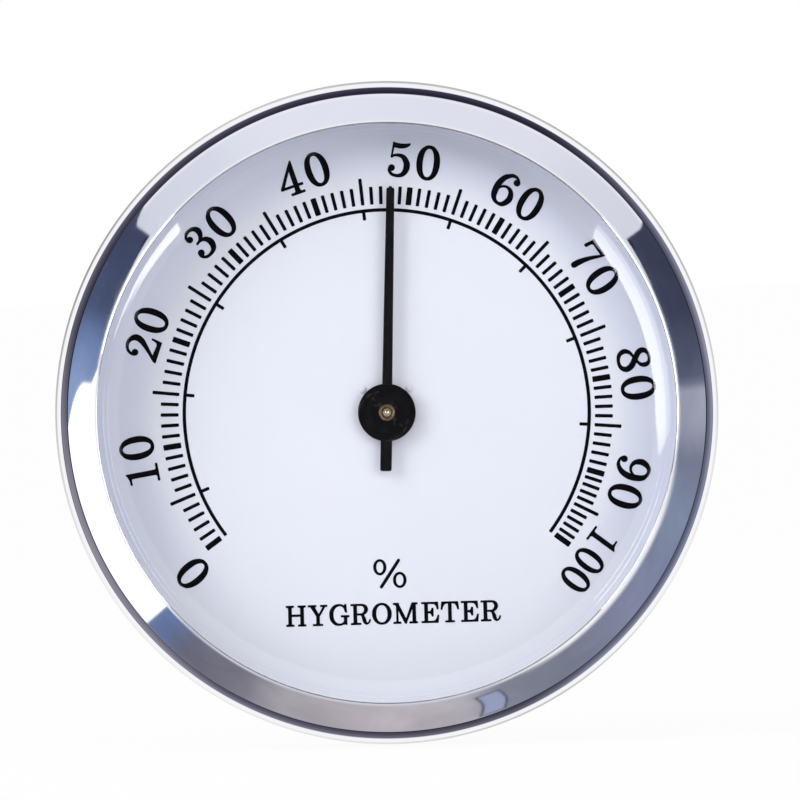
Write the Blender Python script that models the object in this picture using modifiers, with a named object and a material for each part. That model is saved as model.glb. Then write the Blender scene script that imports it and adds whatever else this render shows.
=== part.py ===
"""Dial hygrometer, 70 mm across: a wall instrument with a humidity-sensing spiral strip.

World frame: metres, +Z up, the dial faces -Y. The origin is on the pointer's axis, halfway
between the flat back that rests on the wall and the bezel's lip. Every piece hangs under an
empty in the plane of the back, turned 90 degrees about X, so a piece's own +Z is the way out
through the crystal, its own +X is the viewer's right and its own +Y is up. Sizes are in mm,
and a height (any name with Z) is measured from the wall.
"""

import math

import bmesh
import bpy

MM = 0.001
TURN = 2.0 * math.pi

# ---------------------------------------------------------------- driving dimensions, mm
GAP = 0.05                  # usual gap between neighbouring pieces

BEZEL_R = 35.0              # outside radius of the whole instrument
BEZEL_SHEET = 0.5           # gauge of the spun sheet
BEZEL_LIP_R = 30.6          # inner edge round the crystal
BEZEL_LIP_Z = 19.0          # highest point of the instrument
BEZEL_BAND_R = 33.6         # where the sloping band turns into the corner
BEZEL_BAND_Z = 18.1
BEZEL_REAR_Z = 9.75         # rolled edge behind the case flange

CASE_R = 32.2
CASE_FLANGE_R = BEZEL_R - BEZEL_SHEET - 0.15
CASE_WALL = 1.2
CASE_BACK = 1.6
CASE_FLANGE_Z = BEZEL_REAR_Z + BEZEL_SHEET + 0.1
CASE_FRONT_Z = 15.5
LEDGE_Z = 12.6              # ledge behind the dial's rim
LEDGE_R = 31.0
CASE_BORE_R = 3.3           # screwdriver hole over the adjuster

VENTS = 6
VENT_R0, VENT_R1, VENT_W = 11.5, 24.5, 2.4
KEYHOLE_Y, KEYHOLE_R = 16.5, 3.5
KEYSLOT_Y, KEYSLOT_R = 22.0, 1.8

DIAL_R = 33.3
DIAL_Z0 = LEDGE_Z + GAP
DIAL_Z1 = DIAL_Z0 + 0.5
DIAL_BORE_R = 2.2

LENS_R = 33.9
LENS_FLANGE_Z0, LENS_FLANGE_Z1 = CASE_FRONT_Z + 0.1, 17.1
LENS_SHOULDER_R, LENS_FOOT_R = 28.3, 30.1
LENS_CROWN_Z, LENS_SHOULDER_Z = 18.3, 17.95
LENS_THICK = 1.5

PLATE_Z0, PLATE_Z1 = 11.8, LEDGE_Z
PLATE_REACH, PLATE_END_R = 13.0, 6.2
BRIDGE_Z0, BRIDGE_Z1 = 3.6, 4.4
BRIDGE_END_R = 3.0
BEARING_HOLE_R = 1.80       # central hole of the plate and of the bridge
PILLAR_X, PILLAR_R = 14.5, 2.0
PILLAR_WAIST_R = PILLAR_R - 0.5
RIVET_XY = 2.45             # the dial rivets sit at (+-x, +x), just outside the pointer disc
RIVET_HOLE_R = 0.32

ARBOR_R = 0.62
ARBOR_HOLE_R = ARBOR_R + 0.04
ARBOR_TIP_Z = 15.35
ARBOR_FRONT_R = 0.46        # reduced end that carries the pointer
ARBOR_PIVOT_R = 0.35        # reduced end in the adjuster post
COLLET_R = 1.9

REGULATOR_ANGLE = -50.0     # where the calibration arm stands, clockwise from upright
ARM_Z0, ARM_Z1 = 4.47, 4.97
POST_R = 1.75
POST_HEAD_R = 2.9
POST_HEAD_Z0, POST_HEAD_Z1 = 1.9, 3.0
STUD_R = 0.9

STRIP = 0.25                # gauge of the sensing strip
STRIP_Z0, STRIP_Z1 = 6.2, 10.2
COIL_R0, COIL_R1 = 2.08, 10.9
COIL_TURNS = 6.25
COIL_STEPS_PER_TURN = 24

POINTER_Z0, POINTER_Z1 = 14.0, 14.35
POINTER_LENGTH, POINTER_TAIL = 23.75, 6.2
POINTER_TIP_W, POINTER_ROOT_W, POINTER_TAIL_W = 0.85, 1.07, 1.22
POINTER_DISC_R = 3.05
POINTER_DISC_BORE_R = 0.80
POINTER_ANGLE = 2.5         # clockwise from upright: 48 % relative humidity


# ---------------------------------------------------------------- scene and frames
for old in list(bpy.data.objects):
    bpy.data.objects.remove(old, do_unlink=True)

PARTS = bpy.data.collections.new("dial_hygrometer")
CUTTERS = bpy.data.collections.new("dial_hygrometer_cutters")
bpy.context.scene.collection.children.link(PARTS)
bpy.context.scene.collection.children.link(CUTTERS)


def empty(name, parent=None):
    obj = bpy.data.objects.new(name, None)
    obj.empty_display_size = 5 * MM
    PARTS.objects.link(obj)
    obj.parent = parent
    return obj


FRAME = empty("instrument_frame")
FRAME.rotation_euler = (math.pi / 2, 0.0, 0.0)
FRAME.location = (0.0, BEZEL_LIP_Z / 2 * MM, 0.0)
REGULATOR = empty("regulator_axis", FRAME)      # turns when the calibration is set
POINTER = empty("pointer_axis", REGULATOR)      # turned by the sensing strip


# ---------------------------------------------------------------- materials
def material(name, colour, roughness, metallic=0.0, transmission=0.0):
    mat = bpy.data.materials.new(name)
    mat.use_nodes = True
    shader = mat.node_tree.nodes["Principled BSDF"]
    shader.inputs["Base Color"].default_value = (*colour, 1.0)
    shader.inputs["Roughness"].default_value = roughness
    shader.inputs["Metallic"].default_value = metallic
    shader.inputs["Transmission Weight"].default_value = transmission
    mat.diffuse_color = (*colour, 1.0)
    return mat


def metal(name, colour, roughness):
    return material(name, colour, roughness, metallic=1.0)


CHROME = metal("bezel_chrome", colour=(0.86, 0.87, 0.89), roughness=0.06)
CASE_MAT = material("case_black_plastic", colour=(0.035, 0.035, 0.04), roughness=0.45)
CRYSTAL = material(
    "crystal_clear", colour=(0.97, 0.98, 1.0), roughness=0.02, transmission=1.0
)
GASKET_MAT = material("gasket_rubber", colour=(0.05, 0.05, 0.05), roughness=0.7)
SPACER_MAT = material("spacer_white_plastic", colour=(0.82, 0.83, 0.85), roughness=0.5)
DIAL_MAT = material("dial_white_enamel", colour=(0.86, 0.87, 0.92), roughness=0.45)
PLATE_MAT = metal("movement_plate_brass", colour=(0.72, 0.55, 0.26), roughness=0.32)
BRIDGE_MAT = metal("bridge_brass", colour=(0.70, 0.53, 0.25), roughness=0.34)
SCREW_MAT = metal("screw_steel", colour=(0.62, 0.62, 0.64), roughness=0.28)
PILLAR_MAT = metal("pillar_brass", colour=(0.74, 0.57, 0.28), roughness=0.26)
RIVET_MAT = material("rivet_white_painted", colour=(0.80, 0.81, 0.85), roughness=0.45)
BUSH_MAT = metal("bush_brass", colour=(0.78, 0.60, 0.30), roughness=0.24)
ARBOR_MAT = metal("arbor_brass", colour=(0.84, 0.68, 0.40), roughness=0.16)
COLLET_MAT = metal("collet_brass", colour=(0.76, 0.58, 0.28), roughness=0.25)
STRIP_MAT = metal("sensing_strip_copper", colour=(0.66, 0.42, 0.24), roughness=0.42)
STUD_MAT = metal("stud_brass", colour=(0.76, 0.58, 0.30), roughness=0.25)
ARM_MAT = metal("regulator_arm_steel", colour=(0.56, 0.57, 0.59), roughness=0.34)
POST_MAT = metal("adjuster_brass", colour=(0.76, 0.59, 0.30), roughness=0.24)
WASHER_MAT = metal("spring_washer_steel", colour=(0.50, 0.51, 0.53), roughness=0.30)
POINTER_MAT = material("pointer_black", colour=(0.012, 0.011, 0.013), roughness=0.42)
EYELET_MAT = metal("eyelet_brass", colour=(0.62, 0.46, 0.30), roughness=0.24)


# ---------------------------------------------------------------- points and outlines, mm
def clockwise(radius, degrees):
    """A point on the dial, at an angle clockwise from upright as the viewer sees it."""
    angle = math.radians(degrees)
    return radius * math.sin(angle), radius * math.cos(angle)


def arc(centre_x, centre_y, radius, start, end, steps):
    """Points on an arc, ends included; angles in degrees anticlockwise from the first axis.
    For a profile the two axes are radius and height."""
    points = []
    for i in range(steps + 1):
        angle = math.radians(start + (end - start) * i / steps)
        points.append(
            (centre_x + radius * math.cos(angle), centre_y + radius * math.sin(angle))
        )
    return points


def circle(radius, count, x=0.0, y=0.0):
    return [
        (x + radius * math.cos(TURN * i / count), y + radius * math.sin(TURN * i / count))
        for i in range(count)
    ]


def link_outline(start, start_radius, end, end_radius, steps):
    """Two round ends joined by their outer tangents."""
    start_x, start_y = start
    end_x, end_y = end
    direction = math.degrees(math.atan2(end_y - start_y, end_x - start_x))
    reach = math.hypot(end_x - start_x, end_y - start_y)
    lean = math.degrees(math.acos((start_radius - end_radius) / reach))
    return (
        arc(start_x, start_y, start_radius, direction + lean, direction + 360.0 - lean, steps)
        + arc(end_x, end_y, end_radius, direction - lean, direction + lean, steps)
    )


def keyhole_outline(round_steps, end_steps):
    """The round entry and the slot above it as one outline."""
    half = math.degrees(math.asin(KEYSLOT_R / KEYHOLE_R))
    return (
        arc(0.0, KEYHOLE_Y, KEYHOLE_R, 90.0 + half, 450.0 - half, round_steps)
        + arc(0.0, KEYSLOT_Y, KEYSLOT_R, 0.0, 180.0, end_steps)
    )


# ---------------------------------------------------------------- object builders
def place(obj, parent, mat):
    PARTS.objects.link(obj)
    obj.parent = parent
    obj.data.materials.append(mat)
    return obj


def place_cutter(obj, parent):
    """A helper for a boolean, kept out of renders."""
    CUTTERS.objects.link(obj)
    obj.parent = parent
    obj.hide_render = True
    obj.display_type = "WIRE"
    return obj


def turned(name, profile, steps, parent, mat, ring=False):
    """A body turned about its own Z. The profile is (radius, height) in mm: from the top
    over the outside to the bottom, and for a ring back up the inside."""
    shape = bmesh.new()
    points = [shape.verts.new((radius * MM, 0.0, z * MM)) for radius, z in profile]
    for first, second in zip(points, points[1:]):
        shape.edges.new((first, second))
    if ring:
        shape.edges.new((points[-1], points[0]))
    mesh = bpy.data.meshes.new(name)
    shape.to_mesh(mesh)
    shape.free()
    obj = place(bpy.data.objects.new(name, mesh), parent, mat)
    screw = obj.modifiers.new("turn", "SCREW")
    screw.axis = "Z"
    screw.angle = TURN
    screw.steps = steps
    screw.render_steps = steps
    screw.use_merge_vertices = True
    screw.merge_threshold = 1e-6
    screw.use_smooth_shade = True
    return obj


def outline_curve(name, outlines, z0, z1):
    """A flat curve filled on both faces; outlines after the first are holes in it."""
    curve = bpy.data.curves.new(name, "CURVE")
    curve.dimensions = "2D"
    curve.fill_mode = "BOTH"
    curve.extrude = (z1 - z0) / 2 * MM
    for outline in outlines:
        spline = curve.splines.new("POLY")
        spline.points.add(len(outline) - 1)
        for point, (x, y) in zip(spline.points, outline):
            point.co = (x * MM, y * MM, 0.0, 1.0)
        spline.use_cyclic_u = True
    obj = bpy.data.objects.new(name, curve)
    obj.location = (0.0, 0.0, (z0 + z1) / 2 * MM)
    return obj


def plate(name, outlines, z0, z1, parent, mat):
    return place(outline_curve(name, outlines, z0, z1), parent, mat)


def outline_cutter(name, outline, z0, z1, parent):
    """A flat shape as a welded mesh, so that a boolean can use it."""
    guide = outline_curve(name + "_guide", [outline], z0, z1)
    bpy.context.scene.collection.objects.link(guide)
    graph = bpy.context.evaluated_depsgraph_get()
    mesh = bpy.data.meshes.new_from_object(guide.evaluated_get(graph))
    weld = bmesh.new()
    weld.from_mesh(mesh)
    bmesh.ops.remove_doubles(weld, verts=weld.verts, dist=1e-6)
    bmesh.ops.recalc_face_normals(weld, faces=weld.faces)
    weld.to_mesh(mesh)
    weld.free()
    mesh.name = name
    obj = bpy.data.objects.new(name, mesh)
    obj.location = guide.location
    bpy.data.objects.remove(guide, do_unlink=True)
    return place_cutter(obj, parent)


def block_cutter(name, size, centre, turn_z, parent):
    shape = bmesh.new()
    bmesh.ops.create_cube(shape, size=1.0)
    bmesh.ops.scale(shape, vec=[side * MM for side in size], verts=shape.verts)
    mesh = bpy.data.meshes.new(name)
    shape.to_mesh(mesh)
    shape.free()
    obj = place_cutter(bpy.data.objects.new(name, mesh), parent)
    obj.location = [along * MM for along in centre]
    obj.rotation_euler = (0.0, 0.0, turn_z)
    return obj


def boolean(obj, other, operation="DIFFERENCE"):
    modifier = obj.modifiers.new(operation.lower() + "_" + other.name, "BOOLEAN")
    modifier.operation = operation
    modifier.solver = "EXACT"
    modifier.object = other


# ---------------------------------------------------------------- case and bezel
def build_case():
    inner_r = CASE_R - CASE_WALL
    pocket_r = DIAL_R + 0.2
    corner = 1.3            # rounding of the rear edge
    profile = (
        [(CASE_FLANGE_R, CASE_FRONT_Z), (CASE_FLANGE_R, CASE_FLANGE_Z + 0.2)]
        + [(CASE_FLANGE_R - 0.2, CASE_FLANGE_Z), (CASE_R + 0.15, CASE_FLANGE_Z)]
        + [(CASE_R, CASE_FLANGE_Z - 0.5)]
        + arc(CASE_R - 1.5, corner, corner, 0.0, -90.0, 3)
        + [(CASE_BORE_R + 0.3, 0.0), (CASE_BORE_R, 0.3), (CASE_BORE_R, CASE_BACK)]
        + [(inner_r - 1.0, CASE_BACK), (inner_r, CASE_BACK + 0.9)]
        + [(LEDGE_R, LEDGE_Z), (pocket_r, LEDGE_Z), (pocket_r, CASE_FRONT_Z)]
    )
    case = turned("case_cup", profile, 60, FRAME, CASE_MAT, ring=True)
    case.rotation_euler.z = math.radians(1.7)   # keeps facet edges off the vents' middles

    cut_z0, cut_z1 = -1.0, CASE_BACK + 1.0
    for i in range(VENTS):
        angle = 360.0 / VENTS * (i + 0.5)
        inner, outer = clockwise(VENT_R0, angle), clockwise(VENT_R1, angle)
        outline = link_outline(inner, VENT_W / 2, outer, VENT_W / 2, 6)
        boolean(case, outline_cutter(f"cut_vent_{i + 1}", outline, cut_z0, cut_z1, FRAME))
    # A screw head goes in at the round end, and its shank runs up the slot.
    outline = keyhole_outline(round_steps=28, end_steps=10)
    boolean(case, outline_cutter("cut_keyhole", outline, cut_z0, cut_z1, FRAME))


def build_bezel():
    """Spun sheet: lip round the crystal, sloping band, tight corner, skirt, edge rolled in
    behind the case flange so that it holds crystal, dial and case together."""
    lip_round = 0.35
    corner = 1.7
    corner_r, corner_z = BEZEL_R - corner, BEZEL_BAND_Z - 1.62
    skirt_r = BEZEL_R - BEZEL_SHEET
    rolled_r, rolled_z = CASE_R + 0.9, BEZEL_REAR_Z + BEZEL_SHEET
    lip_inside_r = BEZEL_LIP_R + BEZEL_SHEET
    lip_rear_z = LENS_FLANGE_Z1 + 0.5
    profile = (
        arc(BEZEL_LIP_R + lip_round, BEZEL_LIP_Z - lip_round, lip_round, 180.0, 90.0, 2)
        + [(BEZEL_BAND_R, BEZEL_BAND_Z)]
        + arc(corner_r, corner_z, corner, 66.0, 0.0, 3)
        + [(BEZEL_R, BEZEL_REAR_Z + 0.4), (BEZEL_R - 0.4, BEZEL_REAR_Z)]
        + [(rolled_r, BEZEL_REAR_Z), (rolled_r, rolled_z)]
        + [(skirt_r - 0.15, rolled_z), (skirt_r, rolled_z + 0.2)]
        + arc(corner_r, corner_z, corner - BEZEL_SHEET, 0.0, 66.0, 2)
        + [(lip_inside_r, BEZEL_LIP_Z - BEZEL_SHEET - 0.12)]
        + [(lip_inside_r, lip_rear_z), (BEZEL_LIP_R, lip_rear_z)]
    )
    turned("bezel_ring", profile, 64, FRAME, CHROME, ring=True)


# ---------------------------------------------------------------- crystal and its seat
def build_crystal():
    """A shallow parabolic crown over a stepped-down flange."""
    drop = LENS_CROWN_Z - LENS_SHOULDER_Z
    crown = [(LENS_SHOULDER_R * i / 3, LENS_CROWN_Z - drop * (i / 3) ** 2) for i in range(4)]
    profile = (
        crown
        + [(LENS_SHOULDER_R + 0.7, LENS_SHOULDER_Z - 0.12)]
        + [(LENS_FOOT_R, LENS_FLANGE_Z1 + 0.15), (LENS_FOOT_R + 0.25, LENS_FLANGE_Z1)]
        + [(LENS_R - 0.2, LENS_FLANGE_Z1), (LENS_R, LENS_FLANGE_Z1 - 0.2)]
        + [(LENS_R, LENS_FLANGE_Z0), (LENS_FOOT_R, LENS_FLANGE_Z0)]
        + [(LENS_SHOULDER_R - 0.3, LENS_SHOULDER_Z - LENS_THICK)]
        + [(radius, z - LENS_THICK) for radius, z in reversed(crown[:3])]
    )
    turned("crystal_lens", profile, 60, FRAME, CRYSTAL)


def build_gasket():
    inner_r, outer_r = 31.5, 33.2
    z0, z1 = LENS_FLANGE_Z1 + GAP, 17.5
    profile = [(inner_r, z1), (outer_r, z1), (outer_r, z0), (inner_r, z0)]
    turned("crystal_gasket", profile, 48, FRAME, GASKET_MAT, ring=True)


def build_spacer():
    inner_r, outer_r = 31.0, DIAL_R + 0.05
    z0, z1 = DIAL_Z1 + GAP, LENS_FLANGE_Z0 - GAP
    profile = [
        (inner_r, z1 - 0.1), (inner_r + 0.15, z1), (outer_r, z1), (outer_r, z0), (inner_r, z0),
    ]
    turned("dial_spacer_ring", profile, 56, FRAME, SPACER_MAT, ring=True)


# ---------------------------------------------------------------- dial and movement frame
def hole_pair(radius, count, x, y=0.0):
    return [circle(radius, count, -x, y), circle(radius, count, x, y)]


def build_plates():
    """The dial, and the two plates that the pillars hold apart."""
    rivet_holes = hole_pair(RIVET_HOLE_R, 12, RIVET_XY, RIVET_XY)
    dial = [circle(DIAL_R, 80), circle(DIAL_BORE_R, 32)] + rivet_holes
    plate("dial_plate", dial, DIAL_Z0, DIAL_Z1, FRAME, DIAL_MAT)

    front = [
        link_outline((-PLATE_REACH, 0), PLATE_END_R, (PLATE_REACH, 0), PLATE_END_R, 20),
        circle(BEARING_HOLE_R, 32),
    ] + hole_pair(1.0, 20, PILLAR_X) + rivet_holes
    plate("movement_plate", front, PLATE_Z0, PLATE_Z1, FRAME, PLATE_MAT)

    rear = [
        link_outline((-PILLAR_X, 0), BRIDGE_END_R, (PILLAR_X, 0), BRIDGE_END_R, 14),
        circle(BEARING_HOLE_R, 32),
    ] + hole_pair(0.9, 20, PILLAR_X)
    plate("rear_bridge", rear, BRIDGE_Z0, BRIDGE_Z1, FRAME, BRIDGE_MAT)


def build_pillar(side, x):
    """A waisted pillar: spigot in the movement plate, blind hole for the bridge screw."""
    spigot_r, hole_r = 0.95, 0.78
    top_z, shoulder_z = PLATE_Z1 - GAP, PLATE_Z0 - GAP
    profile = [
        (0.0, top_z), (spigot_r - 0.1, top_z), (spigot_r, top_z - 0.1),
        (spigot_r, shoulder_z), (PILLAR_R - 0.15, shoulder_z), (PILLAR_R, PLATE_Z0 - 0.2),
        (PILLAR_R, PLATE_Z0 - 1.2), (PILLAR_WAIST_R, PLATE_Z0 - 1.5),
        (PILLAR_WAIST_R, BRIDGE_Z1 + 1.5), (PILLAR_R, BRIDGE_Z1 + 1.2),
        (PILLAR_R, BRIDGE_Z1 + GAP), (hole_r, BRIDGE_Z1 + GAP), (hole_r, 7.6), (0.0, 7.9),
    ]
    pillar = turned(f"movement_pillar_{side}", profile, 18, FRAME, PILLAR_MAT)
    pillar.location.x = x * MM


def build_bridge_screw(side, x):
    shank_r, head_r = 0.72, 1.85
    tip_z, seat_z, head_z = 7.2, BRIDGE_Z0 - GAP, BRIDGE_Z0 - 1.05
    profile = [
        (0.0, tip_z), (0.45, tip_z), (shank_r, tip_z - 0.3), (shank_r, seat_z),
        (head_r, seat_z), (head_r, seat_z - 0.6), (head_r - 0.25, head_z + 0.1),
        (0.0, head_z),
    ]
    screw = turned(f"bridge_screw_{side}", profile, 18, FRAME, SCREW_MAT)
    screw.location.x = x * MM
    slot_size = (5.0, 0.5, 1.0)
    slot = block_cutter(
        f"cut_bridge_screw_{side}", slot_size, (x, 0.0, head_z), turn_z=0.6, parent=FRAME
    )
    boolean(screw, slot)


def build_dial_rivet(side, x):
    """A painted rivet that holds the dial to the movement plate."""
    shank_r = RIVET_HOLE_R - 0.05
    head_z, tail_z = DIAL_Z1 + 0.01, PLATE_Z0 - 0.02
    profile = (
        arc(0.0, DIAL_Z1 - 0.42, 0.60, 90.0, 45.0, 2)
        + [(0.42, head_z), (shank_r, head_z), (shank_r, tail_z)]
        + [(0.48, tail_z), (0.40, PLATE_Z0 - 0.28), (0.0, PLATE_Z0 - 0.34)]
    )
    rivet = turned(f"dial_rivet_{side}", profile, 12, FRAME, RIVET_MAT)
    rivet.location = (x * MM, RIVET_XY * MM, 0.0)


def build_front_bush():
    """The arbor's front bearing, with its collar behind the movement plate."""
    body_r, collar_r = BEARING_HOLE_R - 0.04, 2.6
    top_z, seat_z, rear_z = DIAL_Z1 + 0.25, PLATE_Z0 - GAP, PLATE_Z0 - 0.95
    profile = [
        (ARBOR_HOLE_R, top_z), (body_r - 0.16, top_z), (body_r, top_z - 0.15),
        (body_r, seat_z), (collar_r, seat_z), (collar_r, rear_z + 0.2),
        (collar_r - 0.2, rear_z), (ARBOR_HOLE_R, rear_z),
    ]
    turned("front_bush", profile, 26, FRAME, BUSH_MAT, ring=True)


# ---------------------------------------------------------------- regulator
def build_adjuster_post():
    """The slotted post turns in the rear bridge against a spring washer. Its bore is the
    arbor's rear bearing, and its groove holds the arm."""
    bore_r, groove_r = ARBOR_PIVOT_R + 0.05, 1.41
    top_z, groove_z0, groove_z1 = 5.3, 4.45, ARM_Z1 + GAP
    profile = [
        (0.0, 3.7), (bore_r, 3.75), (bore_r, top_z), (POST_R - 0.1, top_z),
        (POST_R, top_z - 0.15), (POST_R, groove_z1), (groove_r, groove_z1),
        (groove_r, groove_z0), (POST_R, groove_z0), (POST_R, POST_HEAD_Z1),
        (POST_HEAD_R, POST_HEAD_Z1), (POST_HEAD_R, POST_HEAD_Z0 + 0.2),
        (POST_HEAD_R - 0.2, POST_HEAD_Z0), (0.0, POST_HEAD_Z0),
    ]
    post = turned("adjuster_post", profile, 26, REGULATOR, POST_MAT)
    slot_size = (7.0, 0.7, 1.4)
    slot = block_cutter(
        "cut_adjuster_slot", slot_size, (0.0, 0.0, POST_HEAD_Z0), turn_z=0.35, parent=REGULATOR
    )
    boolean(post, slot)


def build_friction_washer():
    """A dished washer between the post's head and the bridge."""
    inner_r, outer_r = 1.84, 2.75
    profile = [
        (inner_r, 3.50), (inner_r + 0.25, BRIDGE_Z0 - GAP), (outer_r, 3.28),
        (outer_r, POST_HEAD_Z1 + GAP), (outer_r - 0.25, 3.08), (inner_r, 3.30),
    ]
    turned("friction_washer", profile, 26, REGULATOR, WASHER_MAT, ring=True)


def build_regulator_arm():
    """The arm carries the stud at the outer end of the sensing strip."""
    stud_x, stud_y = clockwise(COIL_R1, REGULATOR_ANGLE)
    outlines = [
        link_outline((0, 0), 3.1, (stud_x, stud_y), 1.5, 18),
        circle(1.45, 28),
        circle(0.58, 14, stud_x, stud_y),
    ]
    plate("regulator_arm", outlines, ARM_Z0, ARM_Z1, REGULATOR, ARM_MAT)


def build_coil_stud():
    """The slotted stud that holds the strip's outer end."""
    x, y = clockwise(COIL_R1, REGULATOR_ANGLE)
    spigot_r = 0.54
    top_z, seat_z, rear_z = 10.7, ARM_Z1 + GAP, 4.5
    profile = [
        (0.0, top_z), (STUD_R - 0.15, top_z), (STUD_R, top_z - 0.15), (STUD_R, seat_z),
        (spigot_r, seat_z), (spigot_r, rear_z), (0.0, rear_z),
    ]
    stud = turned("coil_stud", profile, 20, REGULATOR, STUD_MAT)
    stud.location = (x * MM, y * MM, 0.0)

    slot_height = 6.0
    slot_floor_z = STRIP_Z0 - 0.2
    slot = block_cutter(
        "cut_stud_slot",
        (4.0, STRIP + 0.12, slot_height),
        (x, y, slot_floor_z + slot_height / 2),
        turn_z=-math.radians(REGULATOR_ANGLE),      # along the strip's tangent
        parent=REGULATOR,
    )
    boolean(stud, slot)


# ---------------------------------------------------------------- sensing strip
def build_humidity_coil():
    """The strip hugs the collet for a twelfth of a turn, then opens out at an even pitch.
    Its outer end runs straight through the slot of the stud."""
    hug = TURN / 12
    sweep = COIL_TURNS * TURN
    opening = sweep - hug - TURN / COIL_STEPS_PER_TURN  # full radius one step early
    end_angle = math.pi / 2 - math.radians(REGULATOR_ANGLE)     # from +X, anticlockwise
    steps = int(COIL_TURNS * COIL_STEPS_PER_TURN)

    def edge(offset):
        """One face of the strip, from the collet outwards."""
        points = []
        for i in range(steps):
            travel = sweep * i / steps
            angle = end_angle - sweep + travel
            share = min(1.0, max(0.0, travel - hug) / opening)
            radius = COIL_R0 + (COIL_R1 - COIL_R0) * share + offset
            points.append((radius * math.cos(angle), radius * math.sin(angle)))
        x = (COIL_R1 + offset) * math.cos(end_angle)
        y = (COIL_R1 + offset) * math.sin(end_angle)
        for along in (-1.2, 1.3):       # straight part, before and past the stud's centre
            points.append((x - along * math.sin(end_angle), y + along * math.cos(end_angle)))
        return points

    outline = edge(STRIP / 2) + edge(-STRIP / 2)[::-1]
    plate("humidity_coil", [outline], STRIP_Z0, STRIP_Z1, REGULATOR, STRIP_MAT)


# ---------------------------------------------------------------- arbor, collet, pointer
def build_arbor():
    profile = (
        arc(0.0, ARBOR_TIP_Z - 0.60, 0.60, 90.0, 50.0, 3)
        + [(ARBOR_FRONT_R, ARBOR_TIP_Z - 0.30), (ARBOR_FRONT_R, 13.62)]
        + [(ARBOR_R, 13.55), (ARBOR_R, 5.45)]
        + [(ARBOR_PIVOT_R, 5.40), (ARBOR_PIVOT_R, 4.0), (0.15, 3.85), (0.0, 3.85)]
    )
    turned("arbor", profile, 20, POINTER, ARBOR_MAT)


def build_collet():
    """The sleeve inside the coil, with a collar at its rear end."""
    collar_r = 2.6
    top_z, collar_z, rear_z = 10.5, 6.05, 5.7
    profile = [
        (ARBOR_HOLE_R, top_z), (COLLET_R - 0.2, top_z), (COLLET_R, top_z - 0.15),
        (COLLET_R, collar_z), (collar_r - 0.1, collar_z), (collar_r, collar_z - 0.1),
        (collar_r, rear_z), (ARBOR_HOLE_R, rear_z),
    ]
    turned("coil_collet", profile, 26, POINTER, COLLET_MAT, ring=True)


def pointer_strip(root_width, tip_width, length, chamfer, side):
    """A bar from inside the disc outwards; side is 1 upwards and -1 downwards."""
    root_y = 2.0
    root, tip = root_width / 2, tip_width / 2
    points = [
        (-root, root_y), (root, root_y), (tip, length - chamfer), (tip - chamfer, length),
        (-tip + chamfer, length), (-tip, length - chamfer),
    ]
    return [(side * x, side * y) for x, y in points]


def build_pointer():
    """Pressed disc with a shallow raised ring, joined to a blade and a tail."""
    hub_z, groove_z, ring_z = POINTER_Z1 + 0.10, POINTER_Z1 - 0.05, POINTER_Z1 + 0.08
    profile = [
        (POINTER_DISC_BORE_R, hub_z), (1.35, hub_z), (1.7, groove_z), (2.2, groove_z),
        (2.5, ring_z), (2.75, ring_z), (POINTER_DISC_R, POINTER_Z1 - 0.10),
        (POINTER_DISC_R, POINTER_Z0), (POINTER_DISC_BORE_R, POINTER_Z0),
    ]
    disc = turned("pointer", profile, 36, POINTER, POINTER_MAT, ring=True)
    disc.rotation_euler.z = -math.radians(POINTER_ANGLE)
    blade = pointer_strip(POINTER_ROOT_W, POINTER_TIP_W, POINTER_LENGTH, 0.12, side=1)
    tail = pointer_strip(POINTER_TAIL_W, POINTER_TAIL_W, POINTER_TAIL, 0.15, side=-1)
    inset = 0.01            # keeps the strips' faces off the disc's rear face
    for part, outline in (("blade", blade), ("tail", tail)):
        piece = outline_cutter(
            f"join_pointer_{part}", outline, POINTER_Z0 + inset, POINTER_Z1 - inset, POINTER
        )
        piece.rotation_euler.z = -math.radians(POINTER_ANGLE)
        boolean(disc, piece, "UNION")


def build_eyelet():
    """The eyelet through the pointer's disc, flanged on both sides."""
    bore_r, neck_r, front_r, rear_r = 0.49, 0.74, 0.875, 1.15
    front_z, seat_z, rear_z = POINTER_Z1 + 0.14, POINTER_Z0 - 0.04, POINTER_Z0 - 0.28
    profile = [
        (0.55, POINTER_Z1 + 0.42), (0.70, POINTER_Z1 + 0.50), (front_r, POINTER_Z1 + 0.38),
        (front_r, front_z), (neck_r, front_z), (neck_r, seat_z), (rear_r, seat_z),
        (rear_r, rear_z), (bore_r, rear_z), (bore_r, POINTER_Z1 + 0.30),
    ]
    turned("pointer_eyelet", profile, 20, POINTER, EYELET_MAT, ring=True)


# ---------------------------------------------------------------- assembly
build_case()
build_bezel()
build_crystal()
build_gasket()
build_spacer()
build_plates()
for side_name, sign in (("left", -1), ("right", 1)):
    build_pillar(side_name, sign * PILLAR_X)
    build_bridge_screw(side_name, sign * PILLAR_X)
    build_dial_rivet(side_name, sign * RIVET_XY)
build_front_bush()
build_adjuster_post()
build_friction_washer()
build_regulator_arm()
build_coil_stud()
build_humidity_coil()
build_arbor()
build_collet()
build_pointer()
build_eyelet()

for part_object in PARTS.objects:
    if part_object.type == "MESH":
        part_object.data.shade_smooth()
        part_object.data.set_sharp_from_angle(angle=math.radians(35.0))
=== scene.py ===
"""A round dial hygrometer: chromed bezel, clear crystal, black cup, printed dial and pointer, with
the sensing spiral and its regulator behind the dial.

Lengths are in millimetres in the instrument's own terms: x to the viewer's right, up, and height
outwards from the flat back. place() turns them into the row frame, in metres, where the dial
faces -Y and the origin is on the pointer's axis halfway through the depth."""
import math
from contextlib import contextmanager

import bmesh
import bpy
import numpy as np
from mathutils import Matrix, Vector
from mathutils.geometry import delaunay_2d_cdt


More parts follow.
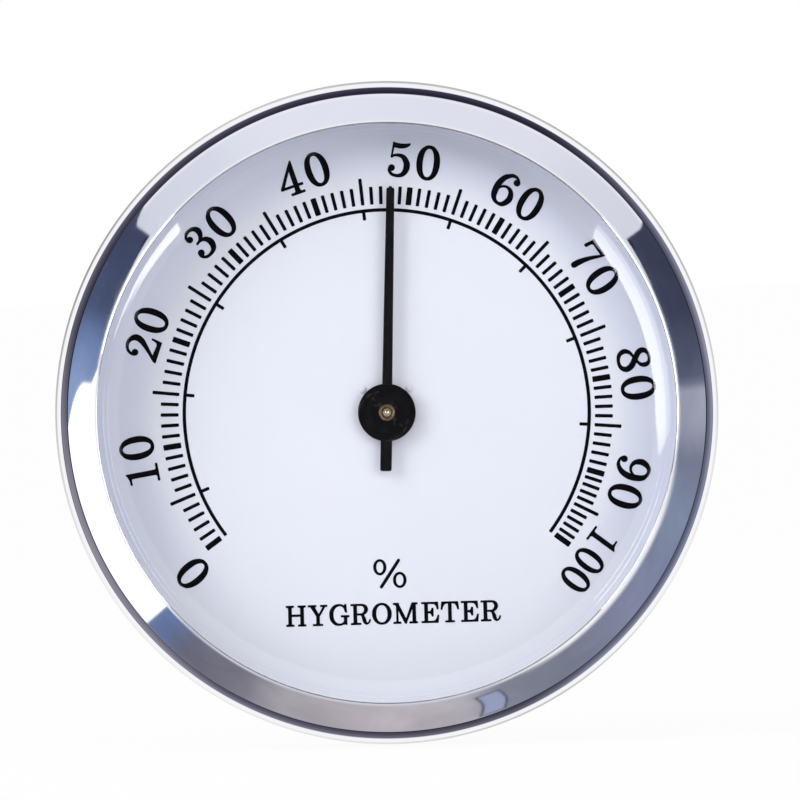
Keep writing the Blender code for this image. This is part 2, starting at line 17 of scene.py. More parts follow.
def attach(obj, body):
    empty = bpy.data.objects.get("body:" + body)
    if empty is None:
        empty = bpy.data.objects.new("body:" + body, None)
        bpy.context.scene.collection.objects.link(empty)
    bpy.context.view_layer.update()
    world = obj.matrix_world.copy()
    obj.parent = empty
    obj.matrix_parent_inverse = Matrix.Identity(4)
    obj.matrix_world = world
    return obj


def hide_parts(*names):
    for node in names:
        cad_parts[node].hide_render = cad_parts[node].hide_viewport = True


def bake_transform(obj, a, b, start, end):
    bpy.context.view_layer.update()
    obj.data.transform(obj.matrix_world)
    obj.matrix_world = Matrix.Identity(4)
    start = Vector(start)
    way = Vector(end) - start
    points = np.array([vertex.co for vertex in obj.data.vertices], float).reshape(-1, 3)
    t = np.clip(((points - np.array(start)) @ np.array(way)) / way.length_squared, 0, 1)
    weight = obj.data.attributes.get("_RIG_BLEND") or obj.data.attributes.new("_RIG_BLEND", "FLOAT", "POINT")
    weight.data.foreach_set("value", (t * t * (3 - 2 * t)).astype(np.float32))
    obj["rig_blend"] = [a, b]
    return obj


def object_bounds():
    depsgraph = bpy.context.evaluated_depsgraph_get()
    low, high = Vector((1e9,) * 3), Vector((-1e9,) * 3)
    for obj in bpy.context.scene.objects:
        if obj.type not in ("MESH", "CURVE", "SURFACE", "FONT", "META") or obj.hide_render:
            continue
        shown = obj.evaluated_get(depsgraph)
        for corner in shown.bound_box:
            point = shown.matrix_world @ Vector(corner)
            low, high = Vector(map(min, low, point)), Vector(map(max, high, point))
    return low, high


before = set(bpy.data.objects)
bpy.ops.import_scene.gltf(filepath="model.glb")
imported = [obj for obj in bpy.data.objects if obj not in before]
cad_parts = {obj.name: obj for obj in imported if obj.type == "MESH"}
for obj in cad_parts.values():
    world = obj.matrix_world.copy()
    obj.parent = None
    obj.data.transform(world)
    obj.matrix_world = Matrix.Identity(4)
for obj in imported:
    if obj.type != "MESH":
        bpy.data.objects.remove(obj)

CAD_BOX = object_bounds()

MM = 0.001
TAU = 2.0 * math.pi
BACK_Y = CAD_BOX[1].y               # the flat back
SEGS = 256        # round the cup and the rings
FINE_SEGS = 384   # round the bezel and the crystal

# Driving dimensions
OPEN_R = 30.5          # the bezel's opening
OUTER_R = 35.0         # the bezel's skirt
DIAL_INK_FOOT = 13.15  # height the print stands on
INK_THICK = 0.018
INK_SUNK = 0.01        # how far the print reaches below its foot
PILLAR_X = 14.5        # pillars and bridge screws, left and right
RIVET_X, RIVET_UP = 2.45, 2.45
STUD_REACH = 10.9      # the strip's stud, from the pointer's axis
STUD_ANGLE = -50.0     # and its place, clockwise from upright
POINTER_REST = 2.5     # degrees clockwise from upright

scene = bpy.context.scene


def place(x, up, height):
    return Vector((x * MM, BACK_Y - height * MM, up * MM))


def clock(radius, degrees):
    """A point (x, up) on the dial, clockwise from upright."""
    angle = math.radians(degrees)
    return radius * math.sin(angle), radius * math.cos(angle)


STUD_X, STUD_UP = clock(STUD_REACH, STUD_ANGLE)


# ------------------------------------------------------------------ node helpers
class Nodes:
    """A small builder for a node tree. Inputs take values, sockets or whole nodes."""

    def __init__(self, tree, output):
        self.tree = tree
        tree.nodes.clear()
        self.output = self.add(output)

    def feed(self, socket, value):
        """Link a node's first output or a socket, or set a value. Colours may leave out alpha."""
        if isinstance(value, bpy.types.Node):
            value = value.outputs[0]
        if isinstance(value, bpy.types.NodeSocket):
            self.tree.links.new(value, socket)
        elif socket.type == "RGBA" and len(value) == 3:
            socket.default_value = (*value, 1.0)
        else:
            socket.default_value = value

    def add(self, kind, *values, named=(), **settings):
        node = self.tree.nodes.new(kind)
        for key, value in settings.items():
            setattr(node, key, value)
        for slot, value in [*enumerate(values), *dict(named).items()]:
            self.feed(node.inputs[slot], value)
        return node

    def close(self, shader):
        self.feed(self.output.inputs["Surface"], shader)

    def math(self, operation, *values):
        return self.add("ShaderNodeMath", *values, operation=operation)

    def plus(self, first, second):
        return self.math("ADD", first, second)

    def minus(self, first, second):
        return self.math("SUBTRACT", first, second)

    def times(self, first, second):
        return self.math("MULTIPLY", first, second)

    def line(self, value, slope, start):
        return self.math("MULTIPLY_ADD", value, slope, start)

    def vector(self, operation, *values):
        return self.add("ShaderNodeVectorMath", *values, operation=operation)

    def grey(self, value):
        return self.add("ShaderNodeCombineXYZ", value, value, value)

    def mix(self, factor, first, second):
        node = self.add("ShaderNodeMix", data_type="RGBA", blend_type="MIX")
        for slot, value in ((0, factor), (6, first), (7, second)):
            self.feed(node.inputs[slot], value)
        return node.outputs[2]

    def remap(self, value, span, to=(0.0, 1.0), smooth=False):
        """Turn the span of a value into another one, clamped at both ends."""
        kind = "SMOOTHSTEP" if smooth else "LINEAR"
        return self.add("ShaderNodeMapRange", value, *span, *to, interpolation_type=kind, clamp=True)

    def noise(self, coords, scale, detail=3.0, roughness=0.55, distortion=0.0):
        return self.add("ShaderNodeTexNoise", coords, named={
            "Scale": scale, "Detail": detail, "Roughness": roughness, "Distortion": distortion})

    def spots(self, coords, scale):
        """Distance to the nearest of many scattered points."""
        return self.add("ShaderNodeTexVoronoi", coords, feature="F1",
                        named={"Scale": scale, "Randomness": 1.0})

    def stretch(self, coords, scale, rotation=(0.0, 0.0, 0.0)):
        return self.add("ShaderNodeMapping", coords, named={"Scale": scale, "Rotation": rotation})

    def millimetres(self):
        """Object coordinates in millimetres, so that texture scales read as features per mm."""
        coords = self.add("ShaderNodeTexCoord").outputs["Object"]
        return self.vector("MULTIPLY", coords, (1000.0,) * 3)

    def radius(self, coords):
        """Distance from the line x = z = 0."""
        flat = self.vector("MULTIPLY", coords, (1.0, 0.0, 1.0))
        return self.vector("LENGTH", flat).outputs["Value"]

    def bump(self, height, strength, distance):
        return self.add("ShaderNodeBump", named={
            "Strength": strength, "Distance": distance, "Height": height})

    def surface(self, colour, roughness, normal, metallic=0.0, specular=0.5):
        self.close(self.add("ShaderNodeBsdfPrincipled", named={
            "Base Color": colour, "Metallic": metallic, "Roughness": roughness,
            "Normal": normal, "Specular IOR Level": specular}))


def srgb(red, green=None, blue=None):
    """Display values 0-255 as linear numbers; one value alone is a grey."""
    values = (red, red if green is None else green, red if blue is None else blue)
    return tuple((v / 255 / 12.92) if v <= 10.3 else ((v / 255 + 0.055) / 1.055) ** 2.4
                 for v in values)


def new_material(name):
    mat = bpy.data.materials.new(name)
    mat.use_nodes = True
    return mat, Nodes(mat.node_tree, "ShaderNodeOutputMaterial")


# ------------------------------------------------------------------ mesh helpers
@contextmanager
def editing(mesh):
    shape = bmesh.new()
    shape.from_mesh(mesh)
    yield shape
    shape.to_mesh(mesh)
    shape.free()


def shade(mesh, sharp):
    """Smooth shading, with edges over the sharp angle in degrees kept crisp."""
    mesh.shade_smooth()
    if sharp is not None:
        mesh.set_sharp_from_angle(angle=math.radians(sharp))


def finish(name, mesh, mat, body=None, node=None, sharp=None):
    obj = bpy.data.objects.new(name, mesh)
    scene.collection.objects.link(obj)
    mesh.materials.append(mat)
    shade(mesh, sharp)
    if body:
        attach(obj, body)
    if node:
        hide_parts(node)
    return obj


def solid_mesh(name, verts, faces):
    """A closed mesh whose faces look outwards."""
    mesh = bpy.data.meshes.new(name)
    mesh.from_pydata([tuple(v) for v in verts], [], faces)
    with editing(mesh) as shape:
        bmesh.ops.recalc_face_normals(shape, faces=shape.faces)
        if shape.calc_volume(signed=True) < 0:
            bmesh.ops.reverse_faces(shape, faces=shape.faces)
    return mesh


def rounded(corners, closed, step):
    """A profile of corners (radius, height[, fillet]) as a fine polyline, with a point at
    least every step degrees round each fillet."""
    points = []
    count = len(corners)
    for i, (radius, height, *fillet) in enumerate(corners):
        here = Vector((radius, height))
        if not fillet or fillet[0] <= 0 or (not closed and i in (0, count - 1)):
            points.append(here)
            continue
        to_before = Vector(corners[i - 1][:2]) - here
        to_after = Vector(corners[(i + 1) % count][:2]) - here
        before_length, after_length = to_before.length, to_after.length
        to_before.normalize()
        to_after.normalize()
        angle = to_before.angle(to_after)
        back = min(fillet[0] / math.tan(angle / 2), 0.495 * before_length, 0.495 * after_length)
        bend = back * math.tan(angle / 2)
        centre = here + (to_before + to_after).normalized() * (bend / math.sin(angle / 2))
        start, end = here + to_before * back, here + to_after * back
        start_angle = math.atan2(*(start - centre).yx)
        end_angle = math.atan2(*(end - centre).yx)
        sweep = (end_angle - start_angle + math.pi) % TAU - math.pi
        pieces = max(2, int(abs(math.degrees(sweep)) / step) + 1)
        for k in range(pieces + 1):
            turn = start_angle + sweep * k / pieces
            points.append(centre + bend * Vector((math.cos(turn), math.sin(turn))))
    return points


def lathe_mesh(name, points, segs, closed, x=0.0, up=0.0):
    """A profile of (radius, height) turned round an axis square to the dial at (x, up)."""
    verts, rings = [], []
    for radius, height in points:
        if radius < 1e-6:
            rings.append([len(verts)])
            verts.append(place(x, up, height))
        else:
            rings.append(list(range(len(verts), len(verts) + segs)))
            for k in range(segs):
                angle = TAU * k / segs
                verts.append(place(x + radius * math.sin(angle), up + radius * math.cos(angle),
                                   height))
    pairs = list(zip(rings, rings[1:]))
    if closed:
        pairs.append((rings[-1], rings[0]))
    faces = []
    for ring_a, ring_b in pairs:
        for k in range(segs):
            j = (k + 1) % segs
            if len(ring_a) == 1:
                faces.append((ring_a[0], ring_b[j], ring_b[k]))
            elif len(ring_b) == 1:
                faces.append((ring_a[k], ring_a[j], ring_b[0]))
            else:
                faces.append((ring_a[k], ring_a[j], ring_b[j], ring_b[k]))
    return solid_mesh(name, verts, faces)


def lathe(name, corners, mat, body, node, segs=96, closed=True, step=14.0, x=0.0, up=0.0,
          sharp=None):
    """A turned piece; closed profiles are rings, open ones end on the axis."""
    mesh = lathe_mesh(name, rounded(corners, closed, step), segs, closed, x, up)
    return finish(name, mesh, mat, body, node, sharp)


# ------------------------------------------------------------------ flat outlines, (x, up)
def pairs_round(loop):
    return zip(loop, loop[1:] + loop[:1])


def signed_area(loop):
    return 0.5 * sum(a[0] * b[1] - b[0] * a[1] for a, b in pairs_round(loop))


def anticlockwise(loop):
    return loop[::-1] if signed_area(loop) < 0 else loop


def grown(loop, reach):
    """The polygon with every side moved outwards by reach, its corners kept short."""
    loop = anticlockwise(loop)
    loop = [p for i, p in enumerate(loop) if math.dist(p, loop[i - 1]) > 1e-4]
    out = []
    for i, (x, y) in enumerate(loop):
        (x0, y0), (x1, y1) = loop[i - 1], loop[(i + 1) % len(loop)]
        length_in, length_out = math.hypot(x - x0, y - y0), math.hypot(x1 - x, y1 - y)
        normal_in = ((y - y0) / length_in, (x0 - x) / length_in)
        normal_out = ((y1 - y) / length_out, (x - x1) / length_out)
        limit = max(1.0 + normal_in[0] * normal_out[0] + normal_in[1] * normal_out[1], 0.45)
        out.append((x + reach * (normal_in[0] + normal_out[0]) / limit,
                    y + reach * (normal_in[1] + normal_out[1]) / limit))
    return out


def round_hole(x, up, radius, count=48):
    return [(x + radius * math.cos(TAU * k / count), up + radius * math.sin(TAU * k / count))
            for k in range(count)]


def slot_outline(x0, up0, radius0, x1, up1, radius1, count=14):
    """Two round ends joined by straight sides."""
    direction = math.atan2(up1 - up0, x1 - x0)
    lean = math.acos((radius0 - radius1) / math.hypot(x1 - x0, up1 - up0))
    points = []
    for i in range(count + 1):
        angle = direction + lean + (TAU - 2 * lean) * i / count
        points.append((x0 + radius0 * math.cos(angle), up0 + radius0 * math.sin(angle)))
    for i in range(count + 1):
        angle = direction - lean + 2 * lean * i / count
        points.append((x1 + radius1 * math.cos(angle), up1 + radius1 * math.sin(angle)))
    return points


def contains(loop, x, y):
    inside = False
    for (x0, y0), (x1, y1) in pairs_round(loop):
        if (y0 > y) != (y1 > y) and x < (x1 - x0) * (y - y0) / (y1 - y0) + x0:
            inside = not inside
    return inside


def union_sheet(loops):
    """Overlapping polygons joined into one triangulated sheet: (points, triangles)."""
    flat, faces = [], []
    for loop in loops:
        base = len(flat)
        flat += [Vector(p) for p in anticlockwise(loop)]
        faces.append(list(range(base, base + len(loop))))
    points, _, triangles, _, _, owners = delaunay_2d_cdt(flat, [], faces, 1, 1e-5)
    return [tuple(v) for v in points], [f for f, owned in zip(triangles, owners) if owned]


def raise_sheet(name, sheets, low, high):
    """Closed prisms from flat sheets, between two heights."""
    mesh = bpy.data.meshes.new(name)
    with editing(mesh) as shape:
        for points, faces in sheets:
            top = verts_at(shape, points, high)
            foot = verts_at(shape, points, low)
            edges = {}                     # a dict, to keep the order of the edges
            for face in faces:
                if not signed_area([points[i] for i in face]) > 0:
                    face = face[::-1]
                shape.faces.new([top[i] for i in face])
                shape.faces.new([foot[i] for i in reversed(face)])
                edges.update(dict.fromkeys(pairs_round(face)))
            for a, b in edges:
                if (b, a) not in edges:
                    shape.faces.new([top[b], top[a], foot[a], foot[b]])
        loose = [v for v in shape.verts if not v.link_faces]
        bmesh.ops.delete(shape, geom=loose, context="VERTS")
        bmesh.ops.recalc_face_normals(shape, faces=shape.faces)
    return mesh


def verts_at(shape, outline, height):
    return [shape.verts.new(place(x, up, height)) for x, up in outline]


def join_loops(shape, low, high):
    for i in range(len(low)):
        j = (i + 1) % len(low)
        shape.faces.new([low[i], low[j], high[j], high[i]])


def prism(name, outline, low_height, high_height, roll=0.0):
    """An outline pulled between two heights; roll rounds over its front edge."""
    outline = anticlockwise(outline)
    mesh = bpy.data.meshes.new(name)
    with editing(mesh) as shape:
        low = verts_at(shape, outline, low_height)
        high = verts_at(shape, outline, high_height)
        top = shape.faces.new(high)
        shape.faces.new(low[::-1])
        join_loops(shape, low, high)
        bmesh.ops.recalc_face_normals(shape, faces=shape.faces)
        if roll:
            bmesh.ops.bevel(shape, geom=list(top.edges), offset=roll * MM, segments=3,
                            affect="EDGES", profile=0.6)
    return mesh


def eased_cutter(outline, top):
    """A cutter for an opening through the back wall, eased where it meets the flat back."""
    # (height, growth of the outline)
    stations = ((-0.12, 0.24), (0.03, 0.09), (0.09, 0.03), (0.2, 0.0), (top, 0.0))
    mesh = bpy.data.meshes.new("cut")
    with editing(mesh) as shape:
        loops = [verts_at(shape, grown(outline, growth), height) for height, growth in stations]
        shape.faces.new(loops[0])
        shape.faces.new(loops[-1][::-1])
        for low, high in zip(loops, loops[1:]):
            join_loops(shape, low, high)
        bmesh.ops.recalc_face_normals(shape, faces=shape.faces)
    return mesh


def cut(obj, cutter_meshes):
    """Cut the meshes out of an object for good."""
    cutters = [bpy.data.objects.new("cut", mesh) for mesh in cutter_meshes]
    for cutter in cutters:
        scene.collection.objects.link(cutter)
        modifier = obj.modifiers.new("cut", "BOOLEAN")
        modifier.operation = "DIFFERENCE"
        modifier.solver = "EXACT"
        modifier.object = cutter
    bpy.context.view_layer.update()
    graph = bpy.context.evaluated_depsgraph_get()
    mesh = bpy.data.meshes.new_from_object(obj.evaluated_get(graph))
    obj.modifiers.clear()
    obj.data = mesh
    for cutter in cutters:
        data = cutter.data
        bpy.data.objects.remove(cutter, do_unlink=True)
        bpy.data.meshes.remove(data)


def slotted(name, corners, mat, body, node, segs, width, span, turn, reach, x=0.0, up=0.0,
            step=20.0):
    """A turned piece with a straight slot cut across it over a span of heights."""
    obj = lathe(name, corners, mat, body, node, segs=segs, closed=False, step=step,
                x=x, up=up)
    cosine, sine = math.cos(turn), math.sin(turn)
    half = width / 2
    outline = [(x + along * cosine - across * sine, up + along * sine + across * cosine)
               for along, across in ((-reach, -half), (reach, -half), (reach, half), (-reach, half))]
    cut(obj, [prism("cut", outline, *span)])
    shade(obj.data, 35)


def sheet_piece(name, outlines, low, high, mat, body, node, bevel=0.06):
    """Blanked sheet metal: an outline and its holes, the edges slightly broken."""
    flat, edges = [], []
    for loop in outlines:
        base = len(flat)
        flat += [Vector(p) for p in loop]
        edges += [(base + i, base + (i + 1) % len(loop)) for i in range(len(loop))]
    points, _, triangles, *_ = delaunay_2d_cdt(flat, edges, [], 2, 1e-6)
    keep = []
    for face in triangles:
        x = sum(points[i].x for i in face) / len(face)
        y = sum(points[i].y for i in face) / len(face)
        if sum(contains(loop, x, y) for loop in outlines) == 1:
            keep.append(face)
    mesh = raise_sheet(name, [([tuple(v) for v in points], keep)], low, high)
    with editing(mesh) as shape:
        bmesh.ops.dissolve_limit(shape, angle_limit=0.01, verts=shape.verts, edges=shape.edges)
        rim = [e for e in shape.edges
               if len(e.link_faces) == 2 and e.calc_face_angle() > math.radians(70)]
        bmesh.ops.bevel(shape, geom=rim, offset=bevel * MM, segments=2, affect="EDGES",
                        profile=0.5)
        bmesh.ops.triangulate(shape, faces=[f for f in shape.faces if len(f.verts) > 4])
    return finish(name, mesh, mat, body, node, 30)


# ------------------------------------------------------------------ a roman face, by pen strokes
# A glyph is a list of polygons in a 100-unit cap height. A stroke is a smooth centre line of
# (x, y, width), a bar is a polygon, a box a rectangle, a ring a pair of ovals.
def smooth_path(points, per):
    """Catmull-Rom through (x, y, width), per pieces between points."""
    pts = [np.array(p, float) for p in points]
    pts = [2 * pts[0] - pts[1]] + pts + [2 * pts[-1] - pts[-2]]
    out = []
    for i in range(1, len(pts) - 2):
        before, here, after, beyond = pts[i - 1 : i + 3]
        for k in range(per):
            t = k / per
            out.append(0.5 * (2 * here + (after - before) * t
                              + (2 * before - 5 * here + 4 * after - beyond) * t * t
                              + (3 * here - before - 3 * after + beyond) * t ** 3))
    out.append(pts[-2])
    return out


def stroke(*points, per=7):
    path = smooth_path(points, per)
    left, right = [], []
    for i, point in enumerate(path):
        along = (path[min(i + 1, len(path) - 1)] - path[max(i - 1, 0)])[:2]
        along = along / max(np.linalg.norm(along), 1e-9)
        normal = np.array((-along[1], along[0]))
        left.append(tuple(point[:2] + normal * point[2] / 2))
        right.append(tuple(point[:2] - normal * point[2] / 2))
    return [[right[i], right[i + 1], left[i + 1], left[i]] for i in range(len(path) - 1)]


def oval(x, y, half_width, half_height, power, count):
    out = []
    for k in range(count):
        cosine, sine = math.cos(TAU * k / count), math.sin(TAU * k / count)
        out.append((x + half_width * math.copysign(abs(cosine) ** (2 / power), cosine),
                    y + half_height * math.copysign(abs(sine) ** (2 / power), sine)))
    return out


def ring(x, y, half_width, half_height, side, cap, outer, inner, count=48):
    """An oval bowl, side thick at its sides and cap at top and bottom; outer and inner are
    the powers of its two ovals."""
    edge = oval(x, y, half_width, half_height, outer, count)
    hole = oval(x, y, half_width - side, half_height - cap, inner, count)
    return [[edge[i], edge[(i + 1) % count], hole[(i + 1) % count], hole[i]]
            for i in range(count)]


def ball(x, y, radius):
    return [oval(x, y, radius, radius, 2.0, 20)]


def bar(*points):
    return [list(points)]


def box(x0, y0, x1, y1):
    return bar((x0, y0), (x1, y0), (x1, y1), (x0, y1))


def serif(x0, x1, stem0, stem1, line=0, thick=7.6, way=1.0):
    """A flat serif from x0 to x1 with soft brackets into a stem from stem0 to stem1. It
    stands on the line, or hangs from it when way is -1."""
    top = line + thick * way
    rise = 6.0 * way
    return bar((x0 + 1, line), (x1 - 1, line), (x1, line + way), (x1, top - way), (x1 - 1, top),
               (stem1 + 5, top), (stem1 + 1.5, top + rise * 0.3), (stem1, top + rise),
               (stem0, top + rise), (stem0 - 1.5, top + rise * 0.3), (stem0 - 5, top),
               (x0 + 1, top), (x0, top - way), (x0, line + way))


def turn_half(parts, x0, y0):
    return [[(2 * x0 - x, 2 * y0 - y) for x, y in loop] for loop in parts]


SIX = (
    stroke((57, 84, 7), (56, 92, 6), (46, 97, 7), (32, 95, 10), (17, 81, 14.5), (9.5, 60, 17),
           (9, 40, 17.5), (13, 20, 15.5), (22, 8, 11), (36, 3.6, 8.5), (50, 9, 13),
           (59.5, 30, 16.5), (53, 50, 12.5), (38, 58, 7.5), (24, 54, 6), (14, 42, 5))
    + ball(54.5, 83.5, 9.4)
)

# figure: (width, gap to the next figure, parts)
FIGURES = {
    "0": (68.5, 12.0, ring(34.2, 50.5, 34.2, 51.5, 17.5, 9.0, 2.15, 2.3)),
    "1": (52.0, 20.0,
          bar((18.5, 2), (33.5, 2), (33.5, 97.5), (31, 98.5), (27.5, 95.5), (21, 91), (12, 88.5),
              (0.5, 88), (0, 84), (1, 82.8), (10, 83.5), (18.5, 82))
          + serif(0, 52, 18.5, 33.5, thick=6.0)),
    "2": (67.0, 16.5,
          stroke((6, 66, 7), (6.5, 78, 6.5), (15, 91, 8), (31, 96.3, 8.6), (47, 91, 13),
                 (56, 77, 17.2), (52, 60, 16.5), (41, 45, 12.5), (27, 29, 9), (14, 15, 8), (5, 5, 8))
          + ball(13, 67, 9.2)
          + bar((0.5, 0), (63.5, 0), (65.5, 12), (67.5, 31), (63, 31.5), (61, 22), (57.5, 14.5),
                (52, 12), (40, 12.6), (28, 14), (16, 14), (5, 9), (0.5, 3))),
    "3": (63.5, 19.5,
          stroke((6.5, 76, 6), (9, 88, 6.5), (19, 95.5, 8.4), (32, 96.4, 8.6), (44, 91, 13),
                 (50, 78, 16.5), (45, 63.5, 12.5), (34, 54.5, 7), (19, 51, 5.4))
          + stroke((19, 51, 5.4), (35, 52, 6.5), (49, 45, 12.5), (55, 28, 17.4), (48, 10.5, 14),
                   (33, 3.6, 8.8), (16, 5, 8), (5.5, 15, 7), (4.5, 25, 6))
          + ball(13.5, 75.5, 9.2) + ball(11, 24.5, 9.6)),
    "4": (68.5, 18.0,
          bar((40, 3), (54, 3), (54, 101), (50, 101), (40, 82))
          + bar((50, 101), (54, 101), (43, 78), (12, 30), (0.5, 24), (0.5, 28))
          + box(0.5, 22.8, 68, 29.6)
          + serif(25.5, 67.5, 40, 54, thick=6.6)),
    "5": (63.5, 19.5,
          bar((8.0, 101.5), (20, 99), (34, 98.4), (47, 99.6), (59, 102), (58, 97), (50, 89.5),
              (40, 85.8), (28, 84.6), (12.4, 86.5), (10.3, 70), (9.4, 60), (5.4, 57.2), (6.6, 75))
          + stroke((6.2, 56, 5), (14, 62, 6.2), (28, 64, 8.4), (43, 59, 13), (54, 42, 17.2),
                   (54, 24, 16.5), (45, 9, 12.5), (31, 3.6, 8.6), (15, 5.5, 8), (5, 15, 7),
                   (4.2, 25, 6))
          + ball(10.8, 25, 9.3)),
    "6": (68.5, 17.0, SIX),
    "7": (64.5, 20.5,
          bar((5, 101), (9, 99.6), (62, 99.8), (64.5, 101), (62.5, 96), (58, 89), (16, 89),
              (12.5, 83), (11, 68), (8, 66), (2.5, 66.5), (1, 69), (4, 84))
          + stroke((62.5, 99, 3.4), (56, 84, 7), (47, 64, 9.6), (39.5, 42, 13), (35.2, 22, 16.2),
                   (34, 8, 17))
          + ball(34, 8.2, 8.5)),
    "8": (68.5, 17.0,
          stroke((34, 96.6, 7.6), (20, 93, 10), (11, 81, 14), (15, 67, 15.5), (32, 54.5, 15.5),
                 (51, 42, 16), (60.5, 25, 15.2), (53, 9.5, 11), (35, 4.2, 8.2), (15.5, 9.5, 11),
                 (7.2, 25, 13.4), (13.5, 41, 9), (32, 53, 6), (50, 66, 9), (54.5, 81, 12.6),
                 (48, 93, 9.4), (34, 96.6, 7.6))),
    "9": (68.5, 17.0, turn_half(SIX, 34.0, 50.5)),
}

LETTERS = {
    "H": box(11, 2, 26, 98) + box(69.5, 2, 85, 98) + box(20, 48, 75, 56.5)
    + serif(0, 37.5, 11, 26) + serif(57.5, 95.5, 69.5, 85)
    + serif(0, 37.5, 11, 26, line=100, way=-1.0) + serif(57.5, 95.5, 69.5, 85, line=100, way=-1.0),
    "Y": bar((39.5, 2), (54.5, 2), (54.5, 47), (60, 53), (84.5, 96), (74.5, 96), (51.5, 55),
             (28, 96), (9, 96), (36, 53), (39.5, 46))
    + serif(22.5, 70, 39.5, 54.5) + box(0, 92.4, 39, 100) + box(60, 92.4, 92.5, 100),
    "G": stroke((77.5, 67, 5), (73, 83, 6.5), (62, 94.5, 7.6), (46, 98, 8.6), (27, 91, 13),
                (12.5, 73, 16.5), (8.4, 50, 17.6), (12.5, 27, 16.5), (26, 9, 13), (44, 2.6, 8.6),
                (60, 5, 8), (73, 14, 8), (78, 27, 8))
    + bar((70.5, 2), (74, 5.5), (80, 2), (84, 2), (84, 44), (70.5, 44), (70.5, 20), (66, 10))
    + serif(55.5, 95, 70.5, 84, line=47, way=-1.0)
    + bar((73, 100), (80.5, 102), (84, 62), (79, 61), (74, 77), (66, 88)),
    "R": box(13.5, 2, 29, 98) + serif(0, 48.5, 13.5, 29)
    + bar((0, 92.4), (48, 92.4), (48, 100), (1, 100))
    + stroke((40, 96, 8), (56, 95.5, 8.6), (69, 88, 14), (74.5, 73.5, 16.5), (68, 58.5, 13),
             (54, 50.5, 8.2), (26, 50, 7.6))
    + stroke((47, 50, 7), (57, 43, 11), (63, 29, 15.5), (67.5, 14, 14.5), (75, 4.8, 9),
             (84, 6.5, 6.5), (90.5, 15, 6), (93, 25, 5)),
    "O": ring(46.5, 50, 46.5, 52, 17.6, 8.8, 2.05, 2.15),
    "M": box(14.5, 2, 22.5, 98)
    + bar((3, 97), (24.5, 97), (64.5, 14), (62.8, 0), (56, 0), (14.5, 84))
    + bar((57, 0), (63, 0), (66, 10), (99, 90), (96, 99), (90, 99), (58, 14))
    + box(93.5, 2, 108.5, 98) + serif(0, 36.5, 14.5, 22.5) + serif(77.5, 117, 93.5, 108.5)
    + box(0, 92.4, 26, 100) + box(91, 92.4, 117, 100),
    "E": box(14, 2, 29.5, 98)
    + bar((0, 0), (80, 0), (84, 36), (78, 36.5), (72.5, 19), (64, 9.5), (50, 7.8), (0, 7.6))
    + bar((0, 100), (79.5, 100), (81.5, 66), (76, 65), (71, 81), (62, 90.5), (48, 92.2), (0, 92.4))
    + bar((26, 46.5), (40, 46.5), (46.5, 42), (50, 31), (56.5, 31), (56.5, 71), (50, 71),
          (46.5, 60), (40, 55), (26, 55)),
    "T": box(36, 2, 51, 96) + serif(21, 66, 36, 51)
    + bar((4, 100), (83, 100), (87.5, 63), (81.5, 62), (76, 80), (68, 90), (58, 92.4), (29, 92.4),
          (19, 90), (11, 80), (5.8, 62), (0, 63)),
}
# (letter, its left edge), in glyph units
WORD = [("H", 0.0), ("Y", 107.5), ("G", 211.5), ("R", 315.0), ("O", 419.5), ("M", 522.5),
        ("E", 660.0), ("T", 754.0), ("E", 853.0), ("R", 949.0)]
WORD_WIDTH = 1042.0

# The per cent sign, in millimetres from its own middle
SLASH_X, SLASH_Y, SLASH_WIDTH = 0.94073, 1.38467, 0.26425
PERCENT = (
    ring(-1.057, 0.69762, 0.65534, 0.81389, 0.248395, 0.184975, 2.0, 2.1, 40)
    + ring(1.01472, -0.69762, 0.67648, 0.81389, 0.248395, 0.184975, 2.0, 2.1, 40)
    + stroke((SLASH_X, SLASH_Y, SLASH_WIDTH), (-SLASH_X, -SLASH_Y, SLASH_WIDTH), per=1)
    + ball(SLASH_X, SLASH_Y, SLASH_WIDTH / 2) + ball(-SLASH_X, -SLASH_Y, SLASH_WIDTH / 2)
)


def set_glyph(parts, scale, width, x, up, degrees, bold):
    """Glyph parts grown by bold, centred on width and the baseline, scaled, turned
    clockwise and moved to (x, up)."""
    cosine, sine = math.cos(math.radians(degrees)), math.sin(math.radians(degrees))
    out = []
    for loop in parts:
        moved = []
        for px, py in grown(loop, bold):
            px, py = (px - width / 2) * scale, py * scale
            moved.append((x + px * cosine + py * sine, up - px * sine + py * cosine))
        out.append(moved)
    return out


# ------------------------------------------------------------------ the printed scale
ARC_R, ARC_WIDTH, ARC_STEPS = 21.40, 0.37, 220
FIGURE_SCALE = 3.57 / 100   # cap height in mm over glyph units
WORD_SCALE = 2.17 / 100
# value: how far its figures sit clockwise of their tick, in degrees
FIGURE_SHIFT = {0: -2.6, 10: -1.8, 20: -0.75, 30: -0.1, 40: -0.25, 50: 0.35, 60: 0.35,
                70: -0.65, 80: 0.25, 90: 0.25, 100: 0.45}


def scale_angle(value):
    """Relative humidity in per cent to degrees clockwise from upright."""
    if value <= 20:
        return -125.5 + 2.8 * value
    if value <= 30:
        return -69.5 + 2.7 * (value - 20)
    if value <= 90:
        return -42.5 + 2.5 * (value - 30)
    return 107.5 + 2.0 * (value - 90)


def radial_bar(degrees, inner, outer, width):
    angle = math.radians(degrees)
    along = Vector((math.sin(angle), math.cos(angle)))
    across = Vector((math.cos(angle), -math.sin(angle)))
    half = width / 2
    soft = min(0.06, half * 0.4)
    corners = ((inner, -half + soft), (inner + soft, -half), (outer - soft, -half),
               (outer, -half + soft), (outer, half - soft), (outer - soft, half),
               (inner + soft, half), (inner, half - soft))
    return [tuple(along * radius + across * side) for radius, side in corners]


